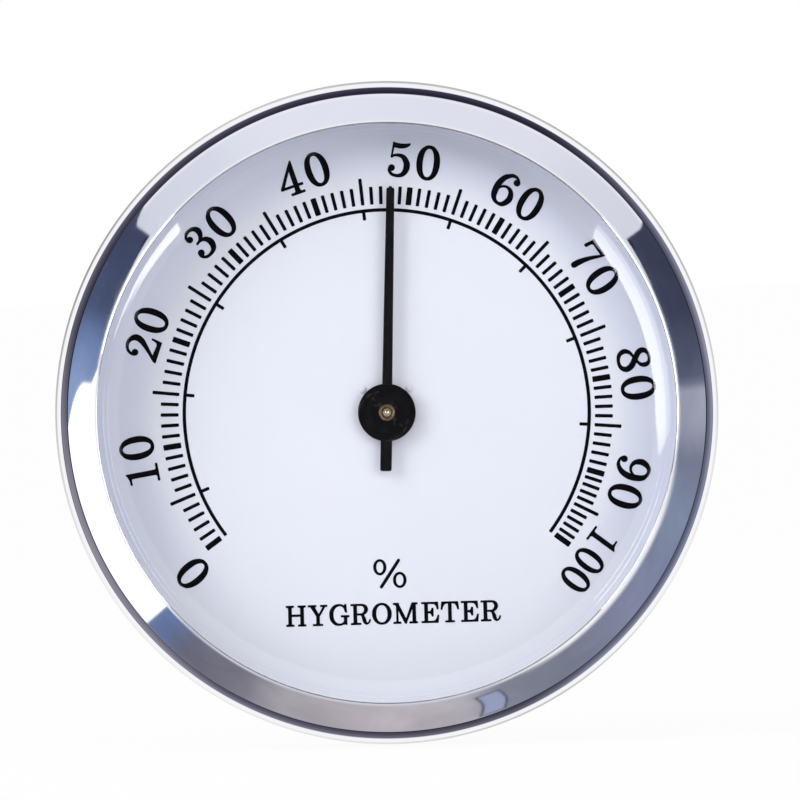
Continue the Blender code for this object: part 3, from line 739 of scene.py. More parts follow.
def scale_loops():
    """Ticks outside the arc, short ones inside it at odd fives, and the arc itself."""
    loops = []
    for value in range(101):
        angle = scale_angle(value)
        decade = value % 10 == 0
        odd_five = value % 5 == 0 and not decade
        loops.append(radial_bar(angle, 22.0, 24.85 if odd_five else 23.90,
                                0.60 if decade else 0.365))
        if odd_five and value <= 85:
            loops.append(radial_bar(angle, 20.4, 21.45, 0.35))
    start, end = scale_angle(0) - 0.35, scale_angle(100) + 0.35
    inner, outer = ARC_R - ARC_WIDTH / 2, ARC_R + ARC_WIDTH / 2
    for k in range(ARC_STEPS):
        here = start + (end - start) * k / ARC_STEPS
        after = start + (end - start) * (k + 1) / ARC_STEPS
        loops.append([clock(inner, here), clock(outer, here), clock(outer, after),
                      clock(inner, after)])
    return loops


def figure_groups():
    """The numbers round the scale; 100 is smaller, with narrower noughts."""
    groups = []
    for value, shift in FIGURE_SHIFT.items():
        text = str(value)
        full = value == 100
        advance, parts = 0.0, []
        for k, figure in enumerate(text):
            width, gap, glyph = FIGURES[figure]
            squeeze = 0.93 if full and figure == "0" else 1.0
            parts += [[(x * squeeze + advance, y) for x, y in loop] for loop in glyph]
            advance += width * squeeze
            if k < len(text) - 1:
                advance += gap
        angle = scale_angle(value) + shift
        x, up = clock(24.91 if full else 24.86, angle)
        size = FIGURE_SCALE * (0.905 if full else 1.0)
        groups.append(set_glyph(parts, size, advance, x, up, angle, bold=0.9))
    return groups


def word_groups():
    groups = []
    for letter, offset in WORD:
        parts = [[(x + offset, y) for x, y in loop] for loop in LETTERS[letter]]
        groups.append(set_glyph(parts, WORD_SCALE, WORD_WIDTH, 0.08, -22.36, 0.0, bold=1.7))
    groups.append(set_glyph(PERCENT, 1.0, 0.0, -0.14, -17.05, 0.0, bold=0.044394))
    return groups


# ------------------------------------------------------------------ materials
def chrome_plating():
    """Polished plating: a mirror with faint haze, fine wipe marks and tiny pits."""
    mat, net = new_material("chrome_plating")
    coords = net.millimetres()
    haze = net.noise(coords, scale=0.16, roughness=0.6)
    wipe = net.noise(net.stretch(coords, scale=(3.0, 3.0, 0.35), rotation=(0.2, 0.7, 0.4)),
                     scale=2.2, detail=5.0, roughness=0.7, distortion=0.4)
    pit = net.remap(net.spots(coords, scale=1.1), (0.0, 0.028), to=(1.0, 0.0))
    rough = net.plus(net.remap(haze, (0.35, 0.7), to=(0.018, 0.045)),
                     net.remap(wipe, (0.55, 0.85), to=(0.0, 0.05)))
    rough = net.plus(rough, net.times(pit, 0.25))
    colour = net.mix(net.remap(haze, (0.3, 0.75)), (0.955, 0.957, 0.965), (0.915, 0.92, 0.935))
    bump = net.bump(net.minus(net.times(wipe, 0.15), pit), strength=0.06, distance=0.00002)
    net.surface(colour, rough, bump, metallic=1.0)
    return mat


def moulded(name, dark, light, roughness, grain_scale, depth):
    """Moulded plastic with an even grain, slight shade drift and rubbed high spots."""
    mat, net = new_material(name)
    coords = net.millimetres()
    grain = net.noise(coords, scale=grain_scale, roughness=0.6)
    coarse = net.noise(coords, scale=grain_scale * 0.22, detail=2.0, roughness=0.5)
    drift = net.noise(coords, scale=0.09)
    rubbed = net.remap(grain, (0.58, 0.8))
    colour = net.mix(net.remap(drift, (0.3, 0.7)), dark, light)
    worn = tuple(min(1.0, part * 2.2 + 0.01) for part in light)
    colour = net.mix(net.times(rubbed, 0.35), colour, worn)
    rough = net.remap(net.plus(net.times(coarse, 0.6), net.times(drift, 0.4)), (0.35, 0.65),
                      to=(roughness - 0.09, roughness + 0.1))
    height = net.plus(net.times(grain, 0.7), net.times(coarse, 0.5))
    net.surface(colour, rough, net.bump(height, strength=0.5, distance=depth), specular=0.45)
    return mat


def dial_enamel():
    """Baked white enamel: a trace of orange peel, sparse specks, a faint cooler tone outwards, and painted
    shade on the outer ring that is strongest at the top.
    """
    mat, net = new_material("dial_enamel")
    coords = net.millimetres()
    peel = net.noise(coords, scale=1.6, detail=2.0, roughness=0.45)
    fine = net.noise(coords, scale=9.0, roughness=0.6)
    cloud = net.noise(coords, scale=0.045, detail=2.0, roughness=0.5)
    radius = net.radius(coords)
    colour = net.mix(net.remap(cloud, (0.3, 0.7)), (0.815, 0.828, 0.895), (0.838, 0.850, 0.912))
    colour = net.mix(net.remap(radius, (6.0, 33.0), to=(0.0, 0.35), smooth=True), colour,
                     (0.80, 0.815, 0.885))
    # painted shade: the outer ring is tinted darker and bluer in place of the bezel's shadow, fading out
    # towards the bottom
    upward = net.add("ShaderNodeSeparateXYZ", coords).outputs["Z"]
    painted_ring_shade = net.times(net.remap(radius, (24.2, 26.6), smooth=True),
                      net.remap(upward, (-24.0, -9.0), smooth=True))
    colour = net.mix(painted_ring_shade, colour, (0.748, 0.770, 0.889))
    speck = net.remap(net.spots(coords, scale=0.55), (0.01, 0.022), to=(0.10, 0.0))
    colour = net.mix(speck, colour, (0.55, 0.54, 0.52))
    rough = net.remap(fine, (0.3, 0.7), to=(0.42, 0.56))
    bump = net.bump(net.plus(peel, net.times(fine, 0.25)), strength=0.25, distance=0.000012)
    net.surface(colour, rough, bump, specular=0.35)
    return mat


def printed_ink():
    """Screen-printed black ink: a little thin at places, with mesh texture."""
    mat, net = new_material("printed_ink")
    coords = net.millimetres()
    body = net.noise(coords, scale=2.4, detail=4.0, roughness=0.6)
    grain = net.noise(coords, scale=14.0, detail=2.0, roughness=0.5)
    colour = net.mix(net.remap(body, (0.35, 0.75)), (0.0010, 0.0009, 0.0018),
                     (0.0030, 0.0027, 0.0046))
    net.surface(colour, net.remap(grain, (0.3, 0.7), to=(0.38, 0.58)),
                net.bump(grain, strength=0.25, distance=0.000006), specular=0.03)
    return mat


def metal(name, base, tarnished, roughness, turned=True, axis=(0.0, 0.0), stain=0.35):
    """Worked metal with tarnish, and tool marks round the axis (x, up) or rolling lines."""
    mat, net = new_material(name)
    coords = net.millimetres()
    if turned:
        radius = net.radius(net.vector("SUBTRACT", coords, (axis[0], 0.0, axis[1])))
        depth = net.add("ShaderNodeSeparateXYZ", coords).outputs["Y"]
        spun = net.add("ShaderNodeCombineXYZ", radius, 0.0, depth)
        lines = net.noise(spun, scale=16.0, roughness=0.7)
    else:
        lines = net.noise(net.stretch(coords, scale=(0.35, 9.0, 12.0)), scale=1.4, detail=4.0,
                          roughness=0.65)
    tarnish = net.noise(coords, scale=0.55, detail=4.0, roughness=0.62, distortion=0.3)
    colour = net.mix(net.remap(tarnish, (0.42, 0.72), to=(0.0, stain)), base, tarnished)
    colour = net.mix(net.remap(lines, (0.35, 0.8), to=(0.0, 0.22)), colour,
                     tuple(part * 0.72 for part in base))
    rough = net.plus(net.remap(tarnish, (0.35, 0.75), to=(roughness - 0.05, roughness + 0.16)),
                     net.remap(lines, (0.3, 0.8), to=(-0.03, 0.06)))
    net.surface(colour, rough, net.bump(lines, strength=0.35, distance=0.00001), metallic=1.0)
    return mat


def pointer_lacquer():
    """Satin black lacquer with fine grain, its edges worn a touch lighter."""
    mat, net = new_material("pointer_lacquer")
    coords = net.millimetres()
    grain = net.noise(coords, scale=7.0, detail=4.0, roughness=0.65)
    cloud = net.noise(coords, scale=0.6, detail=2.0, roughness=0.5)
    pointiness = net.add("ShaderNodeNewGeometry").outputs["Pointiness"]
    wear = net.remap(pointiness, (0.52, 0.6), to=(0.0, 0.5))
    colour = net.mix(net.remap(cloud, (0.3, 0.7)), (0.0018, 0.0015, 0.0020),
                     (0.0042, 0.0036, 0.0044))
    colour = net.mix(wear, colour, (0.05, 0.045, 0.045))
    net.surface(colour, net.remap(grain, (0.3, 0.7), to=(0.34, 0.5)),
                net.bump(grain, strength=0.3, distance=0.000012), specular=0.08)
    return mat


def sensing_ribbon():
    """Rolled copper-bronze ribbon, its inner side coated with a dull film."""
    mat, net = new_material("sensing_ribbon")
    coords = net.millimetres()
    rolling = net.noise(net.stretch(coords, scale=(0.6, 14.0, 0.6)), scale=1.2, detail=4.0,
                        roughness=0.6)
    stain = net.noise(coords, scale=0.7, detail=4.0, roughness=0.6, distortion=0.4)
    coated = net.add("ShaderNodeAttribute", attribute_name="coated",
                     attribute_type="GEOMETRY").outputs["Fac"]
    bare = net.mix(net.remap(stain, (0.4, 0.75)), (0.62, 0.36, 0.20), (0.40, 0.21, 0.12))
    film = net.mix(net.remap(stain, (0.35, 0.7)), (0.60, 0.50, 0.36), (0.46, 0.37, 0.25))
    rough = net.plus(net.remap(rolling, (0.3, 0.7), to=(0.28, 0.42)), net.times(coated, 0.28))
    net.surface(net.mix(coated, bare, film), rough,
                net.bump(rolling, strength=0.3, distance=0.000014),
                metallic=net.minus(1.0, coated))
    return mat


def clear_acrylic():
    """Clear moulded acrylic. Light reaching the dial passes straight through; what the eye
    sees is bent."""
    mat, net = new_material("clear_acrylic")
    index = 1.49
    wipe = net.noise(net.stretch(net.millimetres(), scale=(1.0, 1.0, 0.25),
                                 rotation=(0.0, 0.6, 0.0)), scale=0.5, detail=5.0, roughness=0.65)
    tint = net.mix(net.remap(wipe, (0.3, 0.7)), (0.985, 0.99, 1.0), (0.995, 0.995, 1.0))
    rough = net.remap(wipe, (0.45, 0.85), to=(0.0, 0.02))
    refraction = net.add("ShaderNodeBsdfRefraction", tint, 0.0, index)
    gloss = net.add("ShaderNodeBsdfAnisotropic", (1.0, 1.0, 1.0), named={"Roughness": rough})
    fresnel = net.add("ShaderNodeFresnel", index)
    seen = net.add("ShaderNodeMixShader", fresnel, refraction, gloss)
    clear = net.add("ShaderNodeBsdfTransparent", (0.97, 0.975, 0.985))
    path = net.add("ShaderNodeLightPath").outputs
    passing = net.math("MAXIMUM", path["Is Shadow Ray"], path["Is Diffuse Ray"])
    net.close(net.add("ShaderNodeMixShader", passing, seen, clear))
    return mat


def rivet_paint():
    """White paint with a fine grain."""
    mat, net = new_material("rivet_paint")
    fine = net.noise(net.millimetres(), scale=12.0, roughness=0.6)
    colour = net.mix(net.remap(fine, (0.35, 0.7)), (0.80, 0.81, 0.88), (0.70, 0.70, 0.76))
    net.surface(colour, net.remap(fine, (0.3, 0.7), to=(0.4, 0.6)),
                net.bump(fine, strength=0.4, distance=0.00001))
    return mat


CHROME = chrome_plating()
BLACK_PLASTIC = moulded("case_moulding", dark=(0.012, 0.012, 0.014), light=(0.022, 0.022, 0.025),
                        roughness=0.42, grain_scale=5.5, depth=0.00004)
RUBBER = moulded("gasket_moulding", dark=(0.014, 0.014, 0.015), light=(0.03, 0.03, 0.03),
                 roughness=0.68, grain_scale=9.0, depth=0.00003)
WHITE_PLASTIC = moulded("spacer_moulding", dark=(0.74, 0.75, 0.79), light=(0.80, 0.81, 0.84),
                        roughness=0.5, grain_scale=8.0, depth=0.00001)
ENAMEL = dial_enamel()
INK = printed_ink()
LACQUER = pointer_lacquer()
RIBBON = sensing_ribbon()
ACRYLIC = clear_acrylic()
BRASS_SHEET = metal("sheet_brass", base=(0.74, 0.55, 0.26), tarnished=(0.46, 0.30, 0.12),
                    roughness=0.30, turned=False)
BRASS_TURNED = metal("turned_brass", base=(0.80, 0.61, 0.31), tarnished=(0.52, 0.35, 0.15),
                     roughness=0.22)
BRASS_PIN = metal("pin_brass", base=(0.95, 0.78, 0.50), tarnished=(0.66, 0.46, 0.24),
                  roughness=0.14, stain=0.2)
BRASS_EYELET = metal("eyelet_brass", base=(0.38, 0.27, 0.17), tarnished=(0.22, 0.15, 0.09),
                     roughness=0.24, stain=0.5)
STEEL_SHEET = metal("sheet_steel", base=(0.55, 0.56, 0.58), tarnished=(0.33, 0.33, 0.34),
                    roughness=0.32, turned=False)
STEEL_TURNED = metal("turned_steel", base=(0.60, 0.61, 0.63), tarnished=(0.38, 0.38, 0.40),
                     roughness=0.24)
PAINT = rivet_paint()


def off_axis_brass(name, x, up=0.0):
    return metal(name, base=(0.78, 0.60, 0.30), tarnished=(0.50, 0.33, 0.14), roughness=0.24,
                 axis=(x, up))


# ------------------------------------------------------------------ bezel and crystal
def run_out(radius, height, falls, step=0.05):
    """Follow a surface outwards from (radius, height). Falls are (radius, degrees of fall)."""
    points = [(radius, height)]
    radii, degrees = zip(*falls)
    while radius < radii[-1] - 1e-9:
        after = min(radius + step, radii[-1])
        fall = np.interp((radius + after) / 2, radii, degrees)
        height -= math.tan(math.radians(fall)) * (after - radius)
        radius = after
        points.append((radius, height))
    return points


def offset_in(points, gauge):
    """The same line moved inwards (towards the back) along its normals."""
    out = []
    for i, (radius, height) in enumerate(points):
        before, after = points[max(i - 1, 0)], points[min(i + 1, len(points) - 1)]
        run, rise = after[0] - before[0], after[1] - before[1]
        length = math.hypot(run, rise)
        out.append((radius + gauge * rise / length, height - gauge * run / length))
    return out


def build_bezel():
    """Pressed shell: lip, gently rounded band, a crease, then the roll into the skirt."""
    lip_radius, lip_height = 0.12, 19.0
    gauge = 0.5
    roll_start, roll_fall = 34.36, 44.0    # radius, and degrees of fall there
    ledge_r = 31.1
    band = run_out(OPEN_R + lip_radius, lip_height, [
        (OPEN_R + lip_radius, 14.0), (30.66, 16.5), (33.60, 21.0), (33.65, 22.5), (33.71, 29.0),
        (roll_start, roll_fall)], step=0.04)
    start_angle = math.radians(roll_fall)
    roll = (OUTER_R - roll_start) / (1.0 - math.sin(start_angle))
    corner = []
    for k in range(1, 17):
        angle = math.radians(roll_fall + (90.0 - roll_fall) * k / 16)
        corner.append((OUTER_R - roll * (1.0 - math.sin(angle)),
                       band[-1][1] - roll * (math.cos(start_angle) - math.cos(angle))))
    front = band + corner
    lip = []
    for k in range(10):
        angle = math.radians(90.0 * k / 10)
        lip.append((OPEN_R + lip_radius * (1.0 - math.cos(angle)),
                    lip_height - lip_radius * (1.0 - math.sin(angle))))
    inside = [p for p in offset_in(front, gauge) if p[0] > ledge_r]
    # (radius, height): the hem turned in at the back of the skirt
    hem = [(OUTER_R, 10.2), (34.94, 9.98), (34.8, 9.82), (34.6, 9.75), (33.3, 9.75),
           (33.14, 9.82), (33.1, 10.0), (33.14, 10.18), (33.3, 10.25), (34.3, 10.25),
           (34.44, 10.31), (OUTER_R - gauge, 10.45)]
    # the thicker ledge behind the lip
    ledge = [(ledge_r, inside[0][1] + 0.02), (ledge_r, 17.68), (31.04, 17.6), (30.56, 17.6),
             (OPEN_R, 17.66)]
    mesh = lathe_mesh("bezel_shell", lip + front + hem + inside[::-1] + ledge, FINE_SEGS, True)
    finish("bezel_shell", mesh, CHROME, "case", "bezel_ring", 50)


def build_crystal():
    """Low crown, rolled shoulder, flange under the bezel."""
    crown = [(28.2 * k / 24, 18.3 - 0.34 * (k / 24) ** 2) for k in range(24)]
    shoulder = run_out(28.2, 17.96, [
        (28.2, 2.0), (28.45, 5.5), (29.0, 9.5), (29.6, 12.5), (30.18, 15.6), (30.38, 18.0),
        (30.6, 24.0)])
    # (radius, height)
    flange = [(30.72, shoulder[-1][1] - 0.08), (30.85, 17.16), (31.0, 17.11), (31.2, 17.1),
              (33.7, 17.1), (33.84, 17.04), (33.9, 16.9), (33.9, 15.75), (33.85, 15.65),
              (33.75, 15.6), (31.0, 15.6), (30.86, 15.62), (30.7, 15.69)]
    thick = 1.48
    under = [p for p in offset_in([crown[-1]] + shoulder, thick) if 27.4 < p[0] < 29.98][::-2]
    lower = [(27.0 * (1 - k / 22), 16.8 - 0.305 * (1 - k / 22) ** 2) for k in range(23)]
    mesh = lathe_mesh("crystal_dome", crown + shoulder + flange + under + lower, FINE_SEGS, False)
    finish("crystal_dome", mesh, ACRYLIC, "case", "crystal_lens", 50)


build_bezel()
build_crystal()
lathe("spacer_rim", [(31.0, 15.55, 0.12), (33.35, 15.55, 0.05), (33.35, 13.2, 0.05),
                     (31.0, 13.2, 0.05)],
      WHITE_PLASTIC, "case", "dial_spacer_ring", segs=SEGS, sharp=40)
lathe("gasket_ring", [(31.5, 17.5, 0.14), (33.2, 17.5, 0.14), (33.2, 17.15, 0.14),
                      (31.5, 17.15, 0.14)],
      RUBBER, "case", "crystal_gasket", segs=SEGS, sharp=60)


# ------------------------------------------------------------------ case cup
def back_openings():
    """Six radial slots and a keyhole with its narrow end up."""
    cutter_top = 2.4
    slot_half = 1.2
    cutters = []
    for k in range(6):
        angle = 60.0 * (k + 0.5)
        cutters.append(eased_cutter(slot_outline(*clock(11.5, angle), slot_half,
                                                 *clock(24.5, angle), slot_half), cutter_top))
    head, head_up, neck, neck_up = 3.5, 16.5, 1.8, 22.0    # radii and heights up the back
    half = math.asin(neck / head)
    keyhole = []
    for i in range(45):
        angle = math.pi / 2 + half + (TAU - 2 * half) * i / 44
        keyhole.append((head * math.cos(angle), head_up + head * math.sin(angle)))
    for i in range(17):
        angle = math.pi * i / 16
        keyhole.append((neck * math.cos(angle), neck_up + neck * math.sin(angle)))
    return cutters + [eased_cutter(keyhole, cutter_top)]


def build_case():
    """Cup with a flanged mouth, two shallow grooves and a central hole in its back."""
    case = lathe("case_shell", [
        (34.35, 15.5, 0.15), (34.35, 10.35, 0.25), (32.35, 10.35, 0.3), (32.2, 9.7, 0.2),
        (32.2, 0.75), (31.95, 0.28, 0.3), (31.35, 0.0, 0.3), (29.6, 0.0, 0.1), (29.45, 0.22, 0.1),
        (28.9, 0.22, 0.1), (28.75, 0.0, 0.1), (7.2, 0.0, 0.1), (7.05, 0.25, 0.1),
        (6.35, 0.25, 0.1), (6.2, 0.0, 0.1), (3.6, 0.0, 0.12), (3.3, 0.3, 0.12), (3.3, 1.6, 0.15),
        (30.2, 1.6, 0.4), (31.0, 2.5, 0.3), (31.0, 12.6, 0.1), (33.5, 12.6, 0.1),
        (33.5, 15.5, 0.15)],
        BLACK_PLASTIC, "case", "case_cup", segs=SEGS, step=22.0)
    cut(case, back_openings())
    with editing(case.data) as shape:
        bmesh.ops.remove_doubles(shape, verts=shape.verts, dist=0.002 * MM)
        bmesh.ops.dissolve_degenerate(shape, edges=shape.edges, dist=0.001 * MM)
    shade(case.data, 35)
    with editing(case.data) as shape:
        for edge in shape.edges:                 # flat walls shade flat up to their borders
            level = [abs(face.normal.y) > 0.99999 for face in edge.link_faces]
            if any(level) and not all(level):
                edge.smooth = False


build_case()

# ------------------------------------------------------------------ print on the dial
for name, groups in (("dial_scale_print", [scale_loops()]),
                     ("dial_figures_print", figure_groups()),
                     ("dial_word_print", word_groups())):
    mesh = raise_sheet(name, [union_sheet(loops) for loops in groups],
                       DIAL_INK_FOOT - INK_SUNK, DIAL_INK_FOOT + INK_THICK)
    finish(name, mesh, INK, "case", sharp=30)

# ------------------------------------------------------------------ movement
for side, x in (("left", -RIVET_X), ("right", RIVET_X)):
    lathe(f"rivet_{side}", [
        (0.0, 13.33), (0.14, 13.315), (0.27, 13.27), (0.37, 13.21), (0.42, 13.165),
        (0.38, 13.155), (0.26, 13.155), (0.26, 11.79), (0.46, 11.78), (0.47, 11.7),
        (0.38, 11.52), (0.2, 11.46), (0.0, 11.45)],
        PAINT, "case", f"dial_rivet_{side}", segs=40, closed=False,
        x=x, up=RIVET_UP, sharp=40)
lathe("bush_turned", [
    (0.66, 13.4, 0.04), (1.6, 13.4, 0.05), (1.76, 13.25, 0.05), (1.76, 11.75), (2.6, 11.75, 0.05),
    (2.6, 11.0, 0.08), (2.4, 10.85, 0.05), (0.66, 10.85, 0.04)],
    BRASS_TURNED, "case", "front_bush", sharp=30)

sheet_piece("front_plate", [
    slot_outline(-13.0, 0, 6.2, 13.0, 0, 6.2, 30), round_hole(0, 0, 1.8),
    round_hole(-PILLAR_X, 0, 1.0, 32), round_hole(PILLAR_X, 0, 1.0, 32),
    round_hole(-RIVET_X, RIVET_UP, 0.32, 20), round_hole(RIVET_X, RIVET_UP, 0.32, 20)],
    11.8, 12.6, BRASS_SHEET, "case", "movement_plate")
sheet_piece("back_bridge", [
    slot_outline(-PILLAR_X, 0, 3.0, PILLAR_X, 0, 3.0, 24), round_hole(0, 0, 1.8),
    round_hole(-PILLAR_X, 0, 0.9, 32), round_hole(PILLAR_X, 0, 0.9, 32)],
    3.6, 4.4, BRASS_SHEET, "case", "rear_bridge")
sheet_piece("calibration_arm", [
    slot_outline(0, 0, 3.1, STUD_X, STUD_UP, 1.5, 28), round_hole(0, 0, 1.45, 40),
    round_hole(STUD_X, STUD_UP, 0.58, 24)],
    4.47, 4.97, STEEL_SHEET, "regulator", "regulator_arm", bevel=0.05)

# The spindle and the frame screws are slotted from the rear.
slotted("adjuster_spindle", [
    (0.0, 3.7), (0.40, 3.75), (0.40, 5.3, 0.03), (1.65, 5.3, 0.05), (1.75, 5.15, 0.04),
    (1.75, 5.02, 0.03), (1.41, 5.02), (1.41, 4.45), (1.75, 4.45, 0.03), (1.75, 3.0),
    (2.9, 3.0, 0.06), (2.9, 2.0, 0.22), (2.6, 1.9, 0.2), (0.0, 1.9)],
    BRASS_TURNED, "regulator", "adjuster_post", segs=96, width=0.7,
    span=(-2.0, 2.6), turn=0.35, reach=8.0)
lathe("spring_washer", [
    (1.84, 3.50, 0.04), (2.09, 3.55, 0.06), (2.75, 3.28, 0.05), (2.75, 3.06, 0.04),
    (2.5, 3.08, 0.05), (1.84, 3.30, 0.04)],
    STEEL_TURNED, "regulator", "friction_washer", sharp=40)
for side, x in (("left", -PILLAR_X), ("right", PILLAR_X)):
    pillar_metal = off_axis_brass(f"pillar_brass_{side}", x)
    screw_metal = metal(f"screw_steel_{side}", base=(0.62, 0.63, 0.65),
                        tarnished=(0.38, 0.38, 0.40), roughness=0.22, axis=(x, 0.0))
    lathe(f"pillar_{side}", [
        (0.0, 12.55), (0.85, 12.55, 0.05), (0.95, 12.45, 0.04), (0.95, 11.75), (1.85, 11.75, 0.06),
        (2.0, 11.6, 0.06), (2.0, 10.6, 0.12), (1.5, 10.3, 0.25), (1.5, 5.9, 0.25),
        (2.0, 5.6, 0.12), (2.0, 4.45, 0.08), (0.78, 4.45, 0.05), (0.78, 7.6), (0.0, 7.9)],
        pillar_metal, "case", f"movement_pillar_{side}", segs=64, closed=False,
        x=x, sharp=40)
    slotted(f"frame_screw_{side}", [
        (0.0, 7.2), (0.45, 7.2, 0.05), (0.72, 6.9, 0.05), (0.72, 3.55), (1.85, 3.55, 0.05),
        (1.85, 2.9, 0.2), (1.6, 2.6, 0.3), (0.8, 2.52, 0.5), (0.0, 2.5)],
        screw_metal, "case", f"bridge_screw_{side}", segs=64, width=0.5,
        span=(-2.0, 3.05), turn=0.6, reach=4.0, x=x)
lathe("collet_turned", [
    (0.66, 10.5, 0.04), (1.7, 10.5, 0.06), (1.9, 10.3, 0.06), (1.9, 6.05, 0.05), (2.5, 6.05, 0.06),
    (2.6, 5.95, 0.05), (2.6, 5.7, 0.06), (0.66, 5.7, 0.04)],
    BRASS_TURNED, "pointer", "coil_collet", sharp=35)
# The stud is slotted from the front, for the strip's outer end.
slotted("strip_stud", [
    (0.0, 10.7), (0.75, 10.7, 0.08), (0.9, 10.5, 0.08), (0.9, 5.02, 0.05), (0.54, 5.02, 0.03),
    (0.54, 4.5, 0.08), (0.0, 4.5)],
    off_axis_brass("stud_brass", STUD_X, STUD_UP), "regulator", "coil_stud",
    segs=48, width=0.37, span=(6.0, 12.0), turn=math.radians(-STUD_ANGLE), reach=2.0,
    x=STUD_X, up=STUD_UP, step=14.0)


# ------------------------------------------------------------------ sensing strip
def strip_line():
    """The strip's middle line (x, up), anticlockwise from the collet out to the stud."""
    turns, collet_r = 6.25, 2.08
    hug = TAU / 12                # it lies on the collet this far before it widens
    sweep = turns * TAU
    end = math.pi / 2 - math.radians(STUD_ANGLE)
    steps = int(turns * (96))
    line = []
    for i in range(steps):
        travel = sweep * i / steps
        radius = collet_r
        if travel > hug:
            radius += (STUD_REACH - collet_r) * min(1.0, (travel - hug) / (sweep - hug - TAU / 24))
        angle = end - sweep + travel
        line.append((radius * math.cos(angle), radius * math.sin(angle)))
    # near the stud the outer turn gives way to a straight run through the stud's slot
    line = [(x, up) for x, up in line
            if (x - STUD_X) ** 2 + (up - STUD_UP) ** 2 > 1.2 ** 2 or math.hypot(x, up) < 9.5]
    return line + [(STUD_X - run * math.sin(end), STUD_UP + run * math.cos(end))
                   for run in (-1.15, -0.9, -0.5, 0.0, 0.5, 1.0, 1.3)]


def build_strip():
    line = strip_line()
    lengths = [0.0]
    for (x0, up0), (x1, up1) in zip(line, line[1:]):
        lengths.append(lengths[-1] + math.hypot(x1 - x0, up1 - up0))
    # (offset away from the axis, height)
    section = [(0.125, 6.24), (0.125, 10.16), (0.085, 10.2), (-0.085, 10.2), (-0.125, 10.16),
               (-0.125, 6.24), (-0.085, 6.2), (0.085, 6.2)]
    size = len(section)
    verts, faces, weights, coated = [], [], [], []
    for i, (x, up) in enumerate(line):
        before, after = line[max(i - 1, 0)], line[min(i + 1, len(line) - 1)]
        along = Vector((after[0] - before[0], after[1] - before[1])).normalized()
        for offset, height in section:
            # the outward side is to the right of an anticlockwise run
            verts.append(place(x + offset * along.y, up - offset * along.x, height))
            weights.append(1.0 - lengths[i] / lengths[-1])
            coated.append(1.0 if offset < -0.1 else 0.0)
    for i in range(len(line) - 1):
        for k in range(size):
            j = (k + 1) % size
            faces.append((i * size + k, i * size + j, (i + 1) * size + j, (i + 1) * size + k))
    faces.append(tuple(range(size))[::-1])
    faces.append(tuple((len(line) - 1) * size + k for k in range(size)))
    mesh = solid_mesh("sensing_spiral", verts, faces)
    values = mesh.attributes.new("coated", "FLOAT", "POINT").data
    values.foreach_set("value", np.array(coated, np.float32))
    spiral = finish("sensing_spiral", mesh, RIBBON, sharp=40)
    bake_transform(spiral, "regulator", "pointer", start=tuple(place(STUD_X, STUD_UP, 8.2)),
             end=tuple(place(0, 0, 8.2)))
    # blend by length along the strip: 0 at the stud, 1 at the collet
    blend = spiral.data.attributes["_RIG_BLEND"].data
    blend.foreach_set("value", np.array(weights, np.float32))
    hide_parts("humidity_coil")


build_strip()

# ------------------------------------------------------------------ arbor, pointer, eyelet
lathe("arbor_turned", [
    (0.0, 15.35), (0.22, 15.325, 0.3), (0.40, 15.19, 0.12), (0.46, 15.05, 0.1), (0.46, 13.62),
    (0.62, 13.55, 0.04), (0.62, 5.45, 0.03), (0.35, 5.40, 0.02), (0.35, 4.0, 0.08),
    (0.15, 3.85, 0.05), (0.0, 3.85)],
    BRASS_PIN, "pointer", "arbor", segs=72, closed=False, step=8.0, sharp=40)
lathe("eyelet_turned", [
    (0.50, 14.66, 0.05), (0.56, 14.78, 0.06), (0.70, 14.85, 0.12), (0.875, 14.72, 0.1),
    (0.875, 14.5, 0.03), (0.74, 14.49, 0.02), (0.74, 13.96), (1.15, 13.96, 0.03),
    (1.15, 13.68, 0.05), (0.49, 13.68, 0.04)],
    BRASS_EYELET, "pointer", "pointer_eyelet", step=8.0, sharp=50)
lathe("pointer_disc", [
    (0.80, 14.0), (0.80, 14.46, 0.03), (1.30, 14.46, 0.12), (1.68, 14.30, 0.3), (2.24, 14.30, 0.3),
    (2.48, 14.43, 0.12), (2.76, 14.43, 0.12), (3.05, 14.24, 0.07), (3.05, 14.0, 0.03)],
    LACQUER, "pointer", "pointer", segs=160, step=8.0, sharp=60)


def pointed(points):
    """From the pointer's own frame, tip up, to where it stands at rest."""
    sine, cosine = clock(1.0, POINTER_REST)
    return [(x * cosine + y * sine, -x * sine + y * cosine) for x, y in points]


BLADE = [(-0.535, 2.9), (0.535, 2.9), (0.425, 23.55), (0.40, 23.68), (0.30, 23.75),
         (-0.30, 23.75), (-0.40, 23.68), (-0.425, 23.55)]
TAIL = [(0.61, -2.9), (-0.61, -2.9), (-0.61, -6.02), (-0.55, -6.14), (-0.43, -6.2),
        (0.43, -6.2), (0.55, -6.14), (0.61, -6.02)]
for name, outline in (("pointer_blade", BLADE), ("pointer_tail", TAIL)):
    mesh = prism(name, pointed(outline), 14.02, 14.33, roll=0.09)
    finish(name, mesh, LACQUER, "pointer", sharp=30)

# ------------------------------------------------------------------ CAD piece that stays
for material_slot in bpy.data.objects["dial_plate"].material_slots:
    material_slot.link = "OBJECT"
    material_slot.material = ENAMEL

